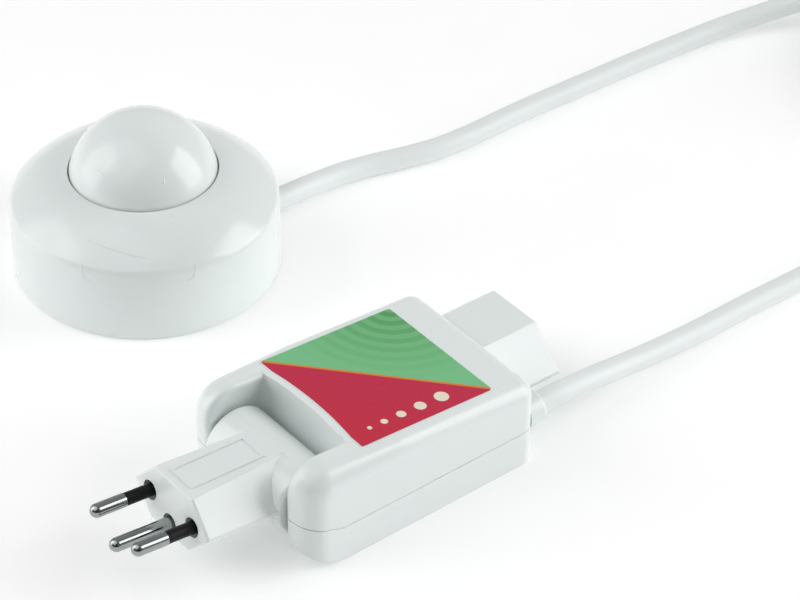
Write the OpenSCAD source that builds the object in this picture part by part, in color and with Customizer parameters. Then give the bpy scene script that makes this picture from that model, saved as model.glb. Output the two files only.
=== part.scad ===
// Plug-in dimmer: a housing with a swivel plug in front and a socket behind, joined by a
// cord to a round foot control with a dome that is turned to dim and pressed to switch.
// Millimetres. X runs from the plug to the rear socket and Z is up. The origin is the middle
// of the housing's underside, and the foot control stands on the same surface.

/* [Dimmer housing] */
// Length of the housing over its ears, without the socket
housing_l = 80; // [74:1:96]
// Height of the top above the swivel axis
housing_front_h = 32.4; // [31.4:0.2:37]
// Height of the top at the rear wall
housing_rear_h = 27.2; // [26.6:0.2:30]
// Height of the parting line between the shells
split_h = 11.5; // [11:0.1:12]
// Wall of both shells
wall = 2; // [1.6:0.1:2.2]
// Rounding of the long top edges and the rear corners
edge_r = 5; // [3:0.5:6]
// Share of an ear's thickness that its outer front corner rounds
ear_corner_share = 0.76; // [0.6:0.02:0.8]
// Rounding of the ears' inner edges
ear_inner_r = 1.6; // [0.8:0.2:1.8]
// Rounding of the ears' top, seen from the side
nose_r = 9.5; // [8.5:0.5:10.5]
// How far the wall behind the plug is dished
dish = 1.4; // [0.6:0.2:2]
// Rounding of the ears' underside, seen from the side
toe_r = 20; // [18:0.5:22]
// Length over which the parting line climbs to the swivel axis
climb_l = 12.3; // [11:0.1:13]
// Side of the square label
label_w = 45; // [42:0.5:46]

/* [Swivel plug] */
// Distance from the ears' front to the swivel axis
axis_in = 8.5; // [8:0.5:10]
// Height of the swivel axis
axis_h = 15.4; // [15:0.2:17]
// Angle at which the plug is set, upwards
plug_tilt = 6.7; // [-20:0.1:20]
// Radius of the barrel that turns between the ears
barrel_r = 10.6; // [9.6:0.2:11.2]
// Rounding of the plug's edges
plug_edge_r = 0.9; // [0.6:0.1:1]
// Distance from the swivel axis to the plug's face
plug_reach = 33.3; // [31:0.1:42]
// Width of the plug over its side ridges
plug_w = 34; // [33.4:0.2:36]
// Height of the plug
plug_h = 17; // [16.6:0.2:18]
// Gap between the plug and each ear
ear_clear = 0.6; // [0.5:0.1:1]
// Gap between the barrel and the wall behind it
swing_clear = 0.7; // [0.5:0.1:1.5]
// Radius of the trunnions
trunnion_r = 3.5; // [3:0.1:3.8]
// Gap round a trunnion
pivot_clear = 0.15; // [0.1:0.05:0.3]

/* [Pins] */
// Diameter of a pin
pin_d = 4; // [3.6:0.1:4.2]
// Length of a pin beyond the plug's face
pin_l = 19; // [17:0.5:21]
// Distance between the line and neutral pins
pin_pitch = 19; // [18:0.5:20]
// Offset of the earth pin below the other two
earth_drop = 5; // [4.6:0.1:5.2]
// Length of the insulating sleeves beyond the plug's face
sleeve_l = 8.5; // [7:0.5:10]
// Thickness of the sleeves
sleeve_t = 0.35; // [0.25:0.05:0.5]
// Radius of the holes round the pins in the plug's face
pin_hole_r = 2.9; // [2.6:0.1:3]

/* [Rear socket] */
// How far the socket stands out behind the housing
socket_out = 20.8; // [18:0.2:26]
// Wall of the socket at its side ridges
socket_wall = 3; // [2.6:0.1:3.4]
// Rounding of the socket's edges
socket_edge_r = 1; // [0.6:0.1:1.2]
// Depth of the well that takes a plug
well_depth = 12; // [8:0.5:14]
// Gap between a plug and the well, all round
well_clear = 0.6; // [0.4:0.1:0.9]
// Inner radius of the contact sleeves
contact_r = 2.05; // [2:0.01:2.2]
// Wall of the contact sleeves
contact_wall = 0.8; // [0.6:0.1:1]

/* [Cord] */
// Diameter of the cord
cord_d = 7; // [6:0.1:7.2]
// Gap between the gland's collar and the socket beside it
gland_gap = 1.4; // [1:0.1:2]
// Distance from the gland's collar to the housing's side
gland_side = 2.4; // [2.2:0.1:4]
// Radius of the collar on the dimmer's gland
gland_r = 5; // [4.8:0.1:5.2]
// Length of the collar behind the dimmer
gland_l = 6; // [5:0.5:6]
// Turns in each layer of the coil
coil_turns = 3; // [2:1:3]
// Radius of the coil's innermost turn
coil_inner_r = 27.5; // [25:0.5:28]
// Gap between neighbouring turns
coil_gap = 0.5; // [0.45:0.05:0.8]
// Thickness of the coil's tie
tie_t = 0.5; // [0.4:0.1:1]
// Width of the coil's tie
tie_w = 8; // [5:1:9]

/* [Foot control] */
// Place of the foot control's axis along the housing
foot_x = 7.7; // [6.7:0.5:7.7]
// Place of the foot control's axis across the housing
foot_y = 115; // [113:0.5:117]
// Diameter of the foot control
foot_d = 80.5; // [79.5:0.5:80.5]
// Height of the cover at the dome
foot_h = 33.5; // [32:0.5:36]
// Height at which the cover's wall starts to round over
shoulder_h = 20; // [18:0.5:22]
// Radius of the cover's shoulder
shoulder_r = 9; // [7:0.5:11]
// Wall of the cover and the dome
foot_wall = 2.2; // [1.8:0.1:2.4]
// Diameter of the dome at the cover
dome_d = 44; // [42:0.5:45]
// Radius of the dome's sphere
dome_r = 22.6; // [22.6:0.2:26]
// Gap between the dome and the cover
dome_clear = 0.4; // [0.3:0.05:0.6]
// How far the dome can be pressed
press_travel = 3; // [2:0.25:3.5]
// Height of the cord's axis at the foot control
foot_cord_h = 6; // [6:0.1:6.4]
// Sideways place of the cord at the foot control
foot_cord_y = -7; // [-8:0.5:-6]
// Thickness of the base plate
base_t = 2; // [1.6:0.1:2.4]
// Height of the rubber feet under the base plate
pad_h = 0.5; // [0.3:0.1:0.8]

/* [Hidden] */

$fn = 64;
soft_steps = 24;
eps = 0.01;
far = 200;
snug = 0.1;
run_gap = 0.3;
white = [0.93, 0.94, 0.93];
black = [0.06, 0.06, 0.07];
nickel = [0.75, 0.75, 0.76];
brass = [0.8, 0.66, 0.32];

// Housing: its width holds the socket and the gland side by side
well_w = plug_w + 2 * well_clear;
well_h = plug_h + 2 * well_clear;
socket_w = well_w + 2 * socket_wall;
housing_w = socket_w + gland_gap + 2 * gland_r + gland_side;
front_x = -housing_l / 2;
rear_x = housing_l / 2;
side_y = housing_w / 2;
socket_y = side_y - socket_w / 2;
gland_y = gland_side + gland_r - side_y;
axis_x = front_x + axis_in;
recess_x = axis_x + barrel_r + swing_clear;
ear_y = plug_w / 2 + ear_clear;
ear_corner_r = ear_corner_share * (side_y - ear_y);
slope = atan((housing_front_h - housing_rear_h) / (rear_x - axis_x));
cavity_x = recess_x + dish + wall;
cavity_end = rear_x - wall;
cavity_y = side_y - wall;
root_x = cavity_x + nose_r;
climb_x = front_x + climb_l;
toe_in = 15;
toe_x = front_x + toe_in;
pocket_z = toe_r * 0.3;
head_seat = 1.2;
pocket_room = 0.6;
label_t = 0.2;
label_in = 2.4;
label_corner = 1;
line_h = 0.18;
line_d = 0.35;
function top_z(x) = housing_front_h - (x - axis_x) * tan(slope);
function under_top(x, r) = top_z(x) - r / cos(slope);

// Plug: its barrel and the washers beside it
washer_t = 0.8;
washer_w = 3;
washer_clear = 0.2;
washer_r = trunnion_r + washer_w;
barrel_half = ear_y - washer_t - 2 * snug;
barrel_edge = 1.2;
trunnion_out = 2.5;
trunnion_wall = 1.2;
trunnion_end = ear_y + wall + trunnion_out;
pin_r = pin_d / 2;
sleeve_in = 0.16;
sleeve_r = pin_r - sleeve_in;
shank_r = sleeve_r - sleeve_t;
pin_clear = 0.02;
face_t = 2;
sleeve_hold = 5;
sleeve_end = -plug_reach + face_t + sleeve_hold;
carrier_wall = 1.2;
carrier_back = 3;
pin_back = 1;
carrier_end = barrel_r + carrier_back;
carrier_w = plug_w - 2 * carrier_wall * sqrt(2);
carrier_h = plug_h - 2 * carrier_wall;
carrier_clear = 0.05;
plug_rise = atan((barrel_r - plug_h / 2) / plug_reach);
frame_w = 10;
frame_l = 24;
frame_in = 2.6;
frame_t = 0.3;
frame_line = 0.7;
pin_places = [[pin_pitch / 2, 0], [-pin_pitch / 2, 0], [0, -earth_drop]];

// Socket: the well takes the plug, and its ridges lie on the parting line
socket_end = rear_x + socket_out;
well_x = socket_end - well_depth;
insert_x = well_x - pin_l;
contact_l = 15;
contact_out_r = contact_r + contact_wall;
socket_face_t = 1.5;
contact_end = well_x - socket_face_t;
insert_flange = 3;
contact_floor = 1.5;
contact_slit = 0.8;
contact_clear = 0.05;
mouth_clear = 0.3;
contact_places = [[socket_y + pin_pitch / 2, split_h], [socket_y - pin_pitch / 2, split_h],
    [socket_y, split_h - earth_drop]];

// Fasteners
screw_r = 1.3;
pilot_clear = 0.05;
through_clear = 0.3;
head_clear = 0.2;
screw_head_r = 2.7;
screw_head_t = 1.8;
boss_r = 3.2;
boss_in = 4.2;
boss_back = 1;
pilot_l = 9;
screw_in = 6.5;
boss_places = [[cavity_x + boss_in, cavity_y - boss_in], [cavity_x + boss_in, boss_in - cavity_y],
    [insert_x - boss_in - boss_back, cavity_y - boss_in]];

// Board in the dimmer and what stands on it
board_t = 1.6;
board_stand = 3;
board_clear = 0.6;
board_end_clear = 2.6;
notch_clear = 0.4;
board_z = wall + board_stand;
board_top = board_z + board_t;
board_x0 = cavity_x + board_clear;
board_x1 = boss_places[2].x - boss_r - board_end_clear;
board_y = cavity_y - board_clear;
board_l = board_x1 - board_x0;
pillar_r = 2.2;
pillar_in = 3;
pillar_places = [for (x = [board_x0 + board_l * 0.34, board_x1 - board_l * 0.11], y = [-1, 1])
    [x, y * (board_y - pillar_in)]];

sink_t = 1.5;
sink_w = board_y * 1.2;
sink_h = 15;
sink_in = 1;
sink_foot = 3;
sink_x = board_x0 + sink_in;
fin_pitch = sink_w / 5;
fin_out = 1;
fin_t = 1;
fin_z = 2;
fuse_r = 2.5;
fuse_l = board_l * 4 / 7;
fuse_end_in = 3;
fuse_side_in = 4.4;
fuse_stand = 4.2;
fuse_x = board_x1 - fuse_l - fuse_end_in;
fuse_y = board_y - fuse_side_in;
fuse_z = board_top + fuse_stand;
lead_pitch = 2.54;
triac_w = 10;
triac_t = 4.4;
triac_z = 4;
triac_top = 11;
tab_t = 1.3;
tab_top = 14;
tab_hole_r = 1.1;
tab_hole_z = 12.4;
lead_x = 2.5;
lead_w = 0.8;
lead_t = 0.6;
cap_l = fuse_l / 4;
cap_t = 0.3;
clip_t = 0.5;
clip_in = 1;
clip_mouth = 1.6;
fuse_clear = 0.05;
glass_t = 0.6;
glass_r = fuse_r - cap_t - fuse_clear;

// Choke: a ring core and the wire wound round it
core_r = min(board_l * 8 / 35, board_y * 8 / 24.9);
core_bore_r = core_r * 0.575;
core_h = 7;
wire_r = 0.5;
wire_gap = 0.3;
choke_turns = 14;
choke_at = [board_x0 + board_l * 0.471, board_y * 0.305];
core_z = board_top + 2 * wire_r + wire_gap + snug;

// Capacitors, chip and terminal on the board
film_at = [board_x0 + board_l * 0.229, -board_y * 0.442];
film_size = [board_l * 0.486, board_y * 0.321, 13.5];
bulk_r = core_r / 2;
bulk_at = [board_x0 + board_l * 0.571, -board_y * 0.663];
bulk_h = 11.4;
bulk_edge = 0.4;
waist_z = 2.1;
chip_size = [core_r * 0.8, core_r * 1.2, 3.3];
chip_at = [board_x1 - board_l * 0.129, board_y * 0.161];
chip_stand = 0.6;
chip_leg = 0.9;
chip_leg_w = 0.6;
chip_leg_h = 2;
terminal_size = [core_r, 15, 9];
terminal_in = 1;
terminal_at = [board_x1 - terminal_in, -board_y * 0.361];
terminal_pitch = 5;
terminal_hole_r = 1.5;
terminal_hole_z = 3.5;
terminal_floor = 2;

// Cord gland and clamp in the dimmer
cord_r = cord_d / 2;
cord_clear = 0.05;
gland_groove = 0.5;
gland_in = 2;
gland_edge = 1.2;
clamp_l = 5;
clamp_back = 1.3;
clamp_x = insert_x - clamp_l / 2 - clamp_back;
clamp_t = 2;
clamp_ear = 6;
clamp_lip = 1;
clamp_screw_in = 2.1;
clamp_screw_y = cord_r + clamp_ear - clamp_screw_in;
tail_l = 6;
clamp_screw_l = 7;
clamp_head_r = 2;

// Foot control: heights, counted from the surface that it stands on
foot_r = foot_d / 2;
dome_edge_r = dome_d / 2;
lip_r = dome_edge_r + dome_clear;
base_top = pad_h + base_t;
base_fit = 0.25;
foot_stand = 3.5;
foot_seat = 1;
foot_screw_in = 6;
base_r = foot_r - foot_wall - base_fit;
foot_board_z = base_top + foot_stand;
foot_board_top = foot_board_z + board_t;
rim_t = 2;
rim_out = 2.2;
rim_top = foot_h - foot_wall - run_gap;
rim_r = dome_edge_r + rim_out;
dome_z = foot_h - sqrt(dome_r ^ 2 - dome_edge_r ^ 2);
skirt_r = sqrt((dome_r - foot_wall) ^ 2 - (foot_h - dome_z) ^ 2);
boss_side = 1.2;
foot_boss_ring = foot_r - foot_wall - boss_r - boss_side;
foot_boss_turns = [60, 180, 300];
foot_pillar_turns = [45, 135, 225, 315];
pad_turns = [30, 120, 210, 330];
pad_in = 9;
pad_ring = base_r - pad_in;
pad_r = 4.5;
bush_wall = 0.7;
bush_r = cord_r + bush_wall;
bush_flange_r = cord_r + 2 * bush_wall;
bush_flange_t = 1.5;
bush_out = 0.8;
bush_stop = sqrt((foot_r - foot_wall) ^ 2 - (bush_flange_r - foot_cord_y) ^ 2) - snug;
bush_room = 2.4;
foot_clamp_x = bush_stop - bush_flange_t - bush_room - clamp_l / 2;
foot_board_clear = 1.1;
foot_board_r = foot_clamp_x - clamp_l / 2 - foot_board_clear;
foot_pillar_in = 2.2;
foot_pillar_r = 2.8;
foot_pillar_ring = foot_board_r - foot_pillar_in;
board_head_t = 1.2;
board_screw_l = 5.5;

// Foot control: the shoulder runs into a crown arc that reaches the lip
shoulder_turn = 45;
crown_to = [lip_r - foot_r + shoulder_r, foot_h - shoulder_h];
crown_dir = [cos(shoulder_turn), sin(shoulder_turn)];
crown_r = (2 * shoulder_r * (crown_to * crown_dir) - shoulder_r * shoulder_r - crown_to * crown_to)
    / (2 * (crown_to * crown_dir - shoulder_r));
crown_c = [foot_r - shoulder_r, shoulder_h] - (crown_r - shoulder_r) * crown_dir;
crown_turn = atan2(foot_h - crown_c.y, lip_r - crown_c.x);

// Turning and pressing parts of the foot control
track_t = 0.1;
wiper_room = 0.6;
wiper_w = 6;
wiper_turn = 200;
rotor_in = 7.84;
rotor_z = foot_board_top + wiper_room;
rotor_r = foot_board_r - rotor_in;
rotor_wall = 1.4;
rotor_flange = 1.3;
rotor_flange_r = rotor_r + rotor_flange;
rotor_flange_t = 1.5;
pot_wall = 2;
pot_lid = 3;
ledge_up = 6;
ledge_t = 2;
rotor_up = 8;
ledge_z = rotor_z + ledge_up;
rotor_top = ledge_z + rotor_up;
key_in = 4.4;
key_drop = 1.5;
key_in_r = rotor_r - key_in;
key_out_r = rotor_r - rotor_wall - run_gap;
key_w = 6;
key_turns = [0, 120, 240];
collar_z = rim_top - rim_t;
spring_wire_r = 0.6;
spring_in = 2.8;
spring_r = key_in_r - spring_in;
spring_seat = 2;
ledge_bore_r = spring_r - spring_seat;
spring_turns = 5;
switch_w = 12;
switch_h = 7.4;
switch_floor = 1.5;
switch_top = foot_board_top + switch_h;
plunger_r = 2.5;
plunger_in = 2;
plunger_spare = 2.2;
plunger_top = switch_top + press_travel + plunger_spare;
stem_r = plunger_r + 1;

// Cord: the coil lies beside the two units, and the routes were laid by hand
coil_at = [285, 33];
coil_pitch = cord_d + coil_gap;
coil_low = tie_t + snug + cord_r;
coil_high = coil_low + coil_pitch;
coil_outer_r = coil_inner_r + coil_turns * coil_pitch;
coil_steps = 24;
tie_slack = 1.3;
gland_end = rear_x + gland_l;
bush_end = foot_x + foot_r + bush_out;
dimmer_route = [[gland_end, gland_y, split_h], [gland_end + cord_d, gland_y, split_h], [67, -19.2, 9.6],
    [80, -18.3, 7.3], [94, -17.7, 5.4], [110, -17.2, 4.1], [127, -16.8, 3.6], [145, -17, 3.5],
    [163, -17.4, 3.5], [181, -17.4, 3.5], [199, -17.2, 3.5], [217, -17, 3.5], [235, -17, 3.5],
    [253, -17, 3.7], [266, -17, coil_low], [coil_at.x - cord_d, coil_at.y - coil_outer_r, coil_low]];
foot_route = [[bush_end, foot_y + foot_cord_y, foot_cord_h],
    [bush_end + cord_d, foot_y + foot_cord_y, foot_cord_h], [66, 108.6, 5.1], [76, 108.8, 4.2],
    [87, 107.4, 3.6], [98, 104.3, 3.5], [109, 101.8, 3.5], [122, 100.9, 3.5], [136, 101.1, 3.5],
    [151, 101.1, 3.5], [166, 100.6, 3.5], [182, 100.2, 3.5], [198, 99.6, 3.5], [214, 98.6, 3.6],
    [229, 96.6, 4.4], [242, 92.4, 6.4], [252, 87.8, 9], [261, 84.2, 11],
    [coil_at.x - 2 * cord_d, coil_at.y + coil_outer_r, coil_high],
    [coil_at.x - cord_d, coil_at.y + coil_outer_r, coil_high]];

// Arc of n steps about a centre, from one angle to another
function arc(c, r, a0, a1, n) = [for (i = [0:n]) let (a = a0 + (a1 - a0) * i / n) c + r * [cos(a), sin(a)]];

// Direction of a path at each of its points
function unit(v) = v / norm(v);
function heading(p, i) = unit(p[min(i + 1, len(p) - 1)] - p[max(i - 1, 0)]);

// Coil: in along the lower layer, up while the spiral turns back, and out along the upper layer
function ease(s) = s * s * (3 - 2 * s);
function coil_radius(t) = t <= coil_turns ? coil_outer_r - coil_pitch * t
    : t <= coil_turns + 0.5 ? coil_inner_r - cord_d * 0.3 * sin(360 * (t - coil_turns))
    : coil_inner_r + coil_pitch * (t - coil_turns - 0.5);
function coil_height(t) = coil_low + (coil_high - coil_low) * ease(max(0, min(1, 2 * (t - coil_turns))));
function coil_point(t) = let (a = 360 * t - 90)
    [coil_at.x + coil_radius(t) * cos(a), coil_at.y + coil_radius(t) * sin(a), coil_height(t)];
coil_count = (2 * coil_turns + 0.5) * coil_steps;
coil_path = concat([coil_point(0) - [cord_d, 0, 0]], [for (i = [0:coil_count]) coil_point(i / coil_steps)],
    [coil_point(coil_count / coil_steps) - [cord_d, 0, 0]]);
coil_gaps = [for (i = [0:len(coil_path) - 1]) for (j = [i + coil_steps / 2:len(coil_path) - 1])
    norm(coil_path[i] - coil_path[j]) - cord_d];

// Spring and choke winding: turns from a formula, with points round each turn
spring_steps = 8;
spring_z0 = ledge_z + ledge_t + spring_wire_r + snug;
spring_z1 = collar_z - spring_wire_r - snug;
spring_count = spring_turns * spring_steps;
spring_path = [for (i = [0:spring_count]) let (a = 360 * i / spring_steps)
    [spring_r * cos(a), spring_r * sin(a), spring_z0 + (spring_z1 - spring_z0) * i / spring_count]];
spring_gap = (spring_z1 - spring_z0) / spring_turns - 2 * spring_wire_r;
choke_steps = 8;
choke_span = 320;
wind_c = [(core_r + core_bore_r) / 2, core_z + core_h / 2];
wind_half = [(core_r - core_bore_r) / 2 + wire_gap + wire_r, core_h / 2 + wire_gap + wire_r];
choke_count = choke_turns * choke_steps;
function choke_turn(i) = choke_span * i / choke_count;
function wind_corner(a) = let (s = 1 / max(abs(cos(a)), abs(sin(a))))
    [wind_half.x * cos(a) * s, wind_half.y * sin(a) * s];
function choke_point(i) =
    let (w = wind_corner(45 + 360 * i / choke_steps), b = choke_turn(i), r = wind_c.x + w.x)
    [choke_at.x + r * cos(b), choke_at.y + r * sin(b), wind_c.y + w.y];
choke_path = [for (i = [0:choke_count]) choke_point(i)];
choke_refs = [for (i = [0:choke_count]) [-sin(choke_turn(i)), cos(choke_turn(i)), 0]];
choke_gap = choke_span / choke_turns * PI / 180 * (core_bore_r - wire_gap - wire_r) - 2 * wire_r;
echo(coil_least_gap = min(coil_gaps), spring_gap = spring_gap, choke_least_gap = choke_gap);

// Round tube of n sides swept along a path; side gives the direction that fixes its roll
module tube(path, r, n, side) {
    m = len(path);
    rings = [for (i = [0:m - 1])
        let (t = heading(path, i), s = unit(cross(t, side[min(i, len(side) - 1)])), u = cross(s, t))
        for (j = [0:n - 1]) path[i] + r * (cos(360 * j / n) * s + sin(360 * j / n) * u)];
    walls = [for (i = [0:m - 2]) for (j = [0:n - 1]) let (k = (j + 1) % n)
        each [[i * n + j, i * n + k, i * n + n + k], [i * n + j, i * n + n + k, i * n + n + j]]];
    ends = [for (j = [1:n - 2]) each [[0, j + 1, j], [(m - 1) * n, (m - 1) * n + j, (m - 1) * n + j + 1]]];
    polyhedron(rings, concat(walls, ends));
}

// Six-sided outline with ridges at its sides and slopes of 45 degrees between them and its flats
module ridged_outline(w, h) {
    flat = w / 2 - h / 2;
    polygon([[w / 2, 0], [flat, h / 2], [-flat, h / 2], [-w / 2, 0], [-flat, -h / 2], [flat, -h / 2]]);
}

// Where balls of radius r lie in the corners of that outline, to round its edges
function ridge_corners(w, h, r) = let (a = w / 2 - r * sqrt(2), b = a - h / 2 + r, c = h / 2 - r)
    [[a, 0], [b, c], [-b, c], [-a, 0], [-b, -c], [b, -c]];

// Extrudes an outline drawn across the object along X, from x0 to x1
module along_x(x0, x1) {
    translate([x0, 0, 0]) rotate([90, 0, 90]) linear_extrude(x1 - x0) children();
}

// Extrudes an outline drawn in side view along Y, over a width centred on the middle
module along_y(w) {
    rotate([90, 0, 0]) linear_extrude(w, center = true) children();
}

// Cylinder along X or along Y, from one end to the other
module rod_x(x0, x1, r) {
    translate([x0, 0, 0]) rotate([0, 90, 0]) cylinder(r = r, h = x1 - x0);
}
module rod_y(y0, y1, r) {
    translate([0, y0, 0]) rotate([-90, 0, 0]) cylinder(r = r, h = y1 - y0);
}

// Box from one corner to the opposite one
module block(a, b) {
    translate(a) cube(b - a);
}

// Places a child on each side of the middle plane
module both_sides() {
    children();
    mirror([0, 1, 0]) children();
}

// Disc on edge with rounded rims, which shapes an ear
module ear_disc(x, z, outer) {
    rim = concat([[0, ear_y]], arc([nose_r - ear_inner_r, ear_y + ear_inner_r], ear_inner_r, -90, 0, 4),
        arc([nose_r - outer, side_y - outer], outer, 0, 90, 8), [[0, side_y]]);
    translate([x, 0, z]) rotate([-90, 0, 0]) rotate_extrude($fn = 40) polygon(rim);
}

// One ear of the housing above the parting line, on the +Y side
module ear_form() {
    nose_x = front_x + nose_r;
    hull() {
        ear_disc(nose_x, under_top(nose_x, nose_r), ear_corner_r);
        ear_disc(nose_x, split_h, ear_corner_r);
        ear_disc(root_x, under_top(root_x, nose_r), edge_r);
        ear_disc(root_x, split_h, edge_r);
    }
}

// Body of the housing above the parting line, behind the ears
module body_form() {
    corner_y = side_y - edge_r;
    corner_x = rear_x - edge_r;
    hull() both_sides() {
        translate([corner_x, corner_y, under_top(corner_x, edge_r)]) sphere(edge_r, $fn = 32);
        translate([corner_x, corner_y, split_h]) cylinder(r = edge_r, h = eps, $fn = 32);
        translate([root_x, corner_y, under_top(root_x, edge_r)]) rotate([0, 90, 0])
            cylinder(r = edge_r, h = eps, $fn = 32);
        block([root_x, side_y - eps, split_h], [root_x + eps, side_y, split_h + eps]);
    }
    along_y(2 * (ear_y + ear_inner_r)) polygon([[recess_x, split_h], [root_x + eps, split_h],
        [root_x + eps, top_z(root_x)], [recess_x, top_z(recess_x)]]);
}

// Outline of one ear seen from above, on the +Y side
module ear_outline() {
    mid_y = side_y - ear_corner_r;
    translate([front_x + ear_corner_r, ear_y])
        square([recess_x - front_x - ear_corner_r + eps, side_y - ear_y]);
    translate([front_x, ear_y + ear_inner_r]) square([ear_corner_r + eps, mid_y - ear_y - ear_inner_r]);
    translate([front_x + ear_inner_r, ear_y]) square([ear_corner_r, ear_inner_r + eps]);
    translate([front_x + ear_inner_r, ear_y + ear_inner_r]) circle(ear_inner_r);
    intersection() {
        translate([front_x + ear_corner_r, mid_y]) circle(ear_corner_r);
        translate([front_x, mid_y - eps]) square([2 * ear_corner_r, ear_corner_r + eps]);
    }
}

// Outline of the housing seen from above
module plan_outline() {
    difference() {
        union() {
            translate([recess_x, -side_y]) square([rear_x - edge_r - recess_x, housing_w]);
            translate([recess_x, edge_r - side_y]) square([rear_x - recess_x, housing_w - 2 * edge_r]);
            for (s = [-1, 1]) {
                translate([rear_x - edge_r, s * (side_y - edge_r)]) circle(edge_r);
            }
            for (s = [0, 1]) mirror([0, s]) ear_outline();
        }
        dish_outline();
    }
}

// Shallow arc that dishes the wall behind the plug
module dish_outline() {
    dish_r = (ear_y * ear_y + dish * dish) / (2 * dish);
    intersection() {
        translate([recess_x + dish - dish_r, 0]) circle(dish_r, $fn = 128);
        translate([recess_x - dish, -ear_y]) square([3 * dish, 2 * ear_y]);
    }
}

// Hollow behind the plug, from height z0 up to just under the sloping top
module cavity(z0) {
    along_y(2 * cavity_y) polygon([[cavity_x, z0], [cavity_end, z0], [cavity_end, top_z(cavity_end) - wall],
        [cavity_x, top_z(cavity_x) - wall]]);
}

// Hollow in each ear, behind the trunnion's wall
module ear_pocket(z0, z1) {
    both_sides() block([axis_x - trunnion_r - pocket_room, ear_y + wall, z0],
        [cavity_x + eps, trunnion_end + pocket_room, z1]);
}

// Opening of the socket and the holes that the shells close round the insert and the gland
module rear_openings() {
    translate([0, socket_y, split_h]) along_x(cavity_end - eps, socket_end + eps)
        ridged_outline(well_w, well_h);
    translate([0, gland_y, split_h]) rod_x(cavity_end - eps, rear_x + eps, gland_r - gland_groove);
}

// Socket's shroud, whose ridges lie on the parting line
module shroud() {
    hull() for (p = ridge_corners(socket_w, 2 * split_h, socket_edge_r),
        x = [cavity_end + socket_edge_r, socket_end - socket_edge_r])
            translate([x, socket_y + p.x, split_h + p.y]) sphere(socket_edge_r, $fn = soft_steps);
}

// Keeps what lies above the parting line, which climbs to the swivel axis along the ears
module above_split() {
    intersection() {
        children();
        along_y(2 * far) polygon([[front_x, axis_h], [climb_x, split_h], [far, split_h], [far, far],
            [-far, far], [-far, axis_h]]);
    }
}

// Keeps what lies below the parting line and above the rounded toes of the ears
module below_split() {
    intersection() {
        children();
        along_y(2 * far) polygon([[front_x, axis_h], [climb_x, split_h], [far, split_h], [far, 0],
            [-far, 0], [-far, axis_h]]);
        along_y(2 * far) {
            translate([toe_x, toe_r]) circle(toe_r, $fn = 128);
            translate([toe_x, 0]) square([far, toe_r]);
        }
    }
}

// Fine groove along the parting line, round the outside of the shells
module parting_groove() {
    difference() {
        along_y(2 * far) polygon([[front_x - eps, axis_h - line_h], [climb_x, split_h - line_h],
            [rear_x + eps, split_h - line_h], [rear_x + eps, split_h + line_h], [climb_x, split_h + line_h],
            [front_x - eps, axis_h + line_h]]);
        linear_extrude(far) offset(delta = -line_d) plan_outline();
        translate([0, socket_y, split_h]) along_x(cavity_end, far) ridged_outline(socket_w, 2 * split_h);
        translate([0, gland_y, split_h]) rod_x(cavity_end, far, gland_r);
    }
}

module upper_shell() color(white) difference() {
    above_split() {
        body_form();
        both_sides() ear_form();
        shroud();
    }
    difference() {
        cavity(split_h - eps);
        for (p = boss_places) translate([p.x, p.y, 0]) cylinder(r = boss_r, h = far);
    }
    translate([0, 0, -eps]) linear_extrude(far) dish_outline();
    ear_pocket(pocket_z, axis_h + trunnion_r + pocket_room);
    translate([axis_x, 0, axis_h]) rod_y(-ear_y - wall - eps, ear_y + wall + eps, trunnion_r + pivot_clear);
    both_sides() block([axis_x - trunnion_r - pivot_clear, ear_y - eps, split_h - eps],
        [axis_x + trunnion_r + pivot_clear, ear_y + wall + eps, axis_h]);
    rear_openings();
    parting_groove();
    for (p = boss_places) translate([p.x, p.y, 0])
        cylinder(r = screw_r + pilot_clear, h = split_h + pilot_l);
}

module lower_shell() color(white) difference() {
    union() {
        difference() {
            below_split() {
                linear_extrude(axis_h) plan_outline();
                shroud();
            }
            block([cavity_x, -cavity_y, wall], [cavity_end, cavity_y, far]);
            ear_pocket(pocket_z, far);
        }
        for (p = boss_places) translate([p.x, p.y, wall - eps])
            cylinder(r = boss_r, h = split_h - wall + eps);
        for (p = pillar_places) translate([p.x, p.y, wall - eps])
            cylinder(r = pillar_r, h = board_z - wall + eps);
        both_sides() block([axis_x - trunnion_r - pivot_clear + snug, ear_y, split_h - eps],
            [axis_x + trunnion_r + pivot_clear - snug, ear_y + wall, axis_h]);
        block([clamp_x - clamp_l / 2, gland_y - cord_r - clamp_lip, wall - eps],
            [clamp_x + clamp_l / 2, gland_y + cord_r + clamp_ear, split_h]);
    }
    rear_openings();
    parting_groove();
    translate([axis_x, 0, axis_h]) rod_y(-trunnion_end - pocket_room, trunnion_end + pocket_room,
        trunnion_r + pivot_clear);
    translate([0, gland_y, split_h]) rod_x(clamp_x - clamp_l, clamp_x + clamp_l, cord_r + snug);
    translate([clamp_x, gland_y + clamp_screw_y, 2 * wall]) cylinder(r = screw_r + pilot_clear, h = far);
    for (p = boss_places) translate([p.x, p.y, -eps]) {
        cylinder(r = screw_r + through_clear, h = far);
        cylinder(r = screw_head_r + head_clear, h = screw_head_t + head_seat + eps);
    }
}

// Pan-head screw, upright with its head below
module screw(head_r, head_t, shank_r, length) {
    cylinder(r = head_r, h = head_t);
    cylinder(r = shank_r, h = length);
}

module housing_screws() color(nickel)
    for (p = boss_places) translate([p.x, p.y, head_seat])
        screw(screw_head_r, screw_head_t, screw_r, split_h + screw_in);

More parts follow.
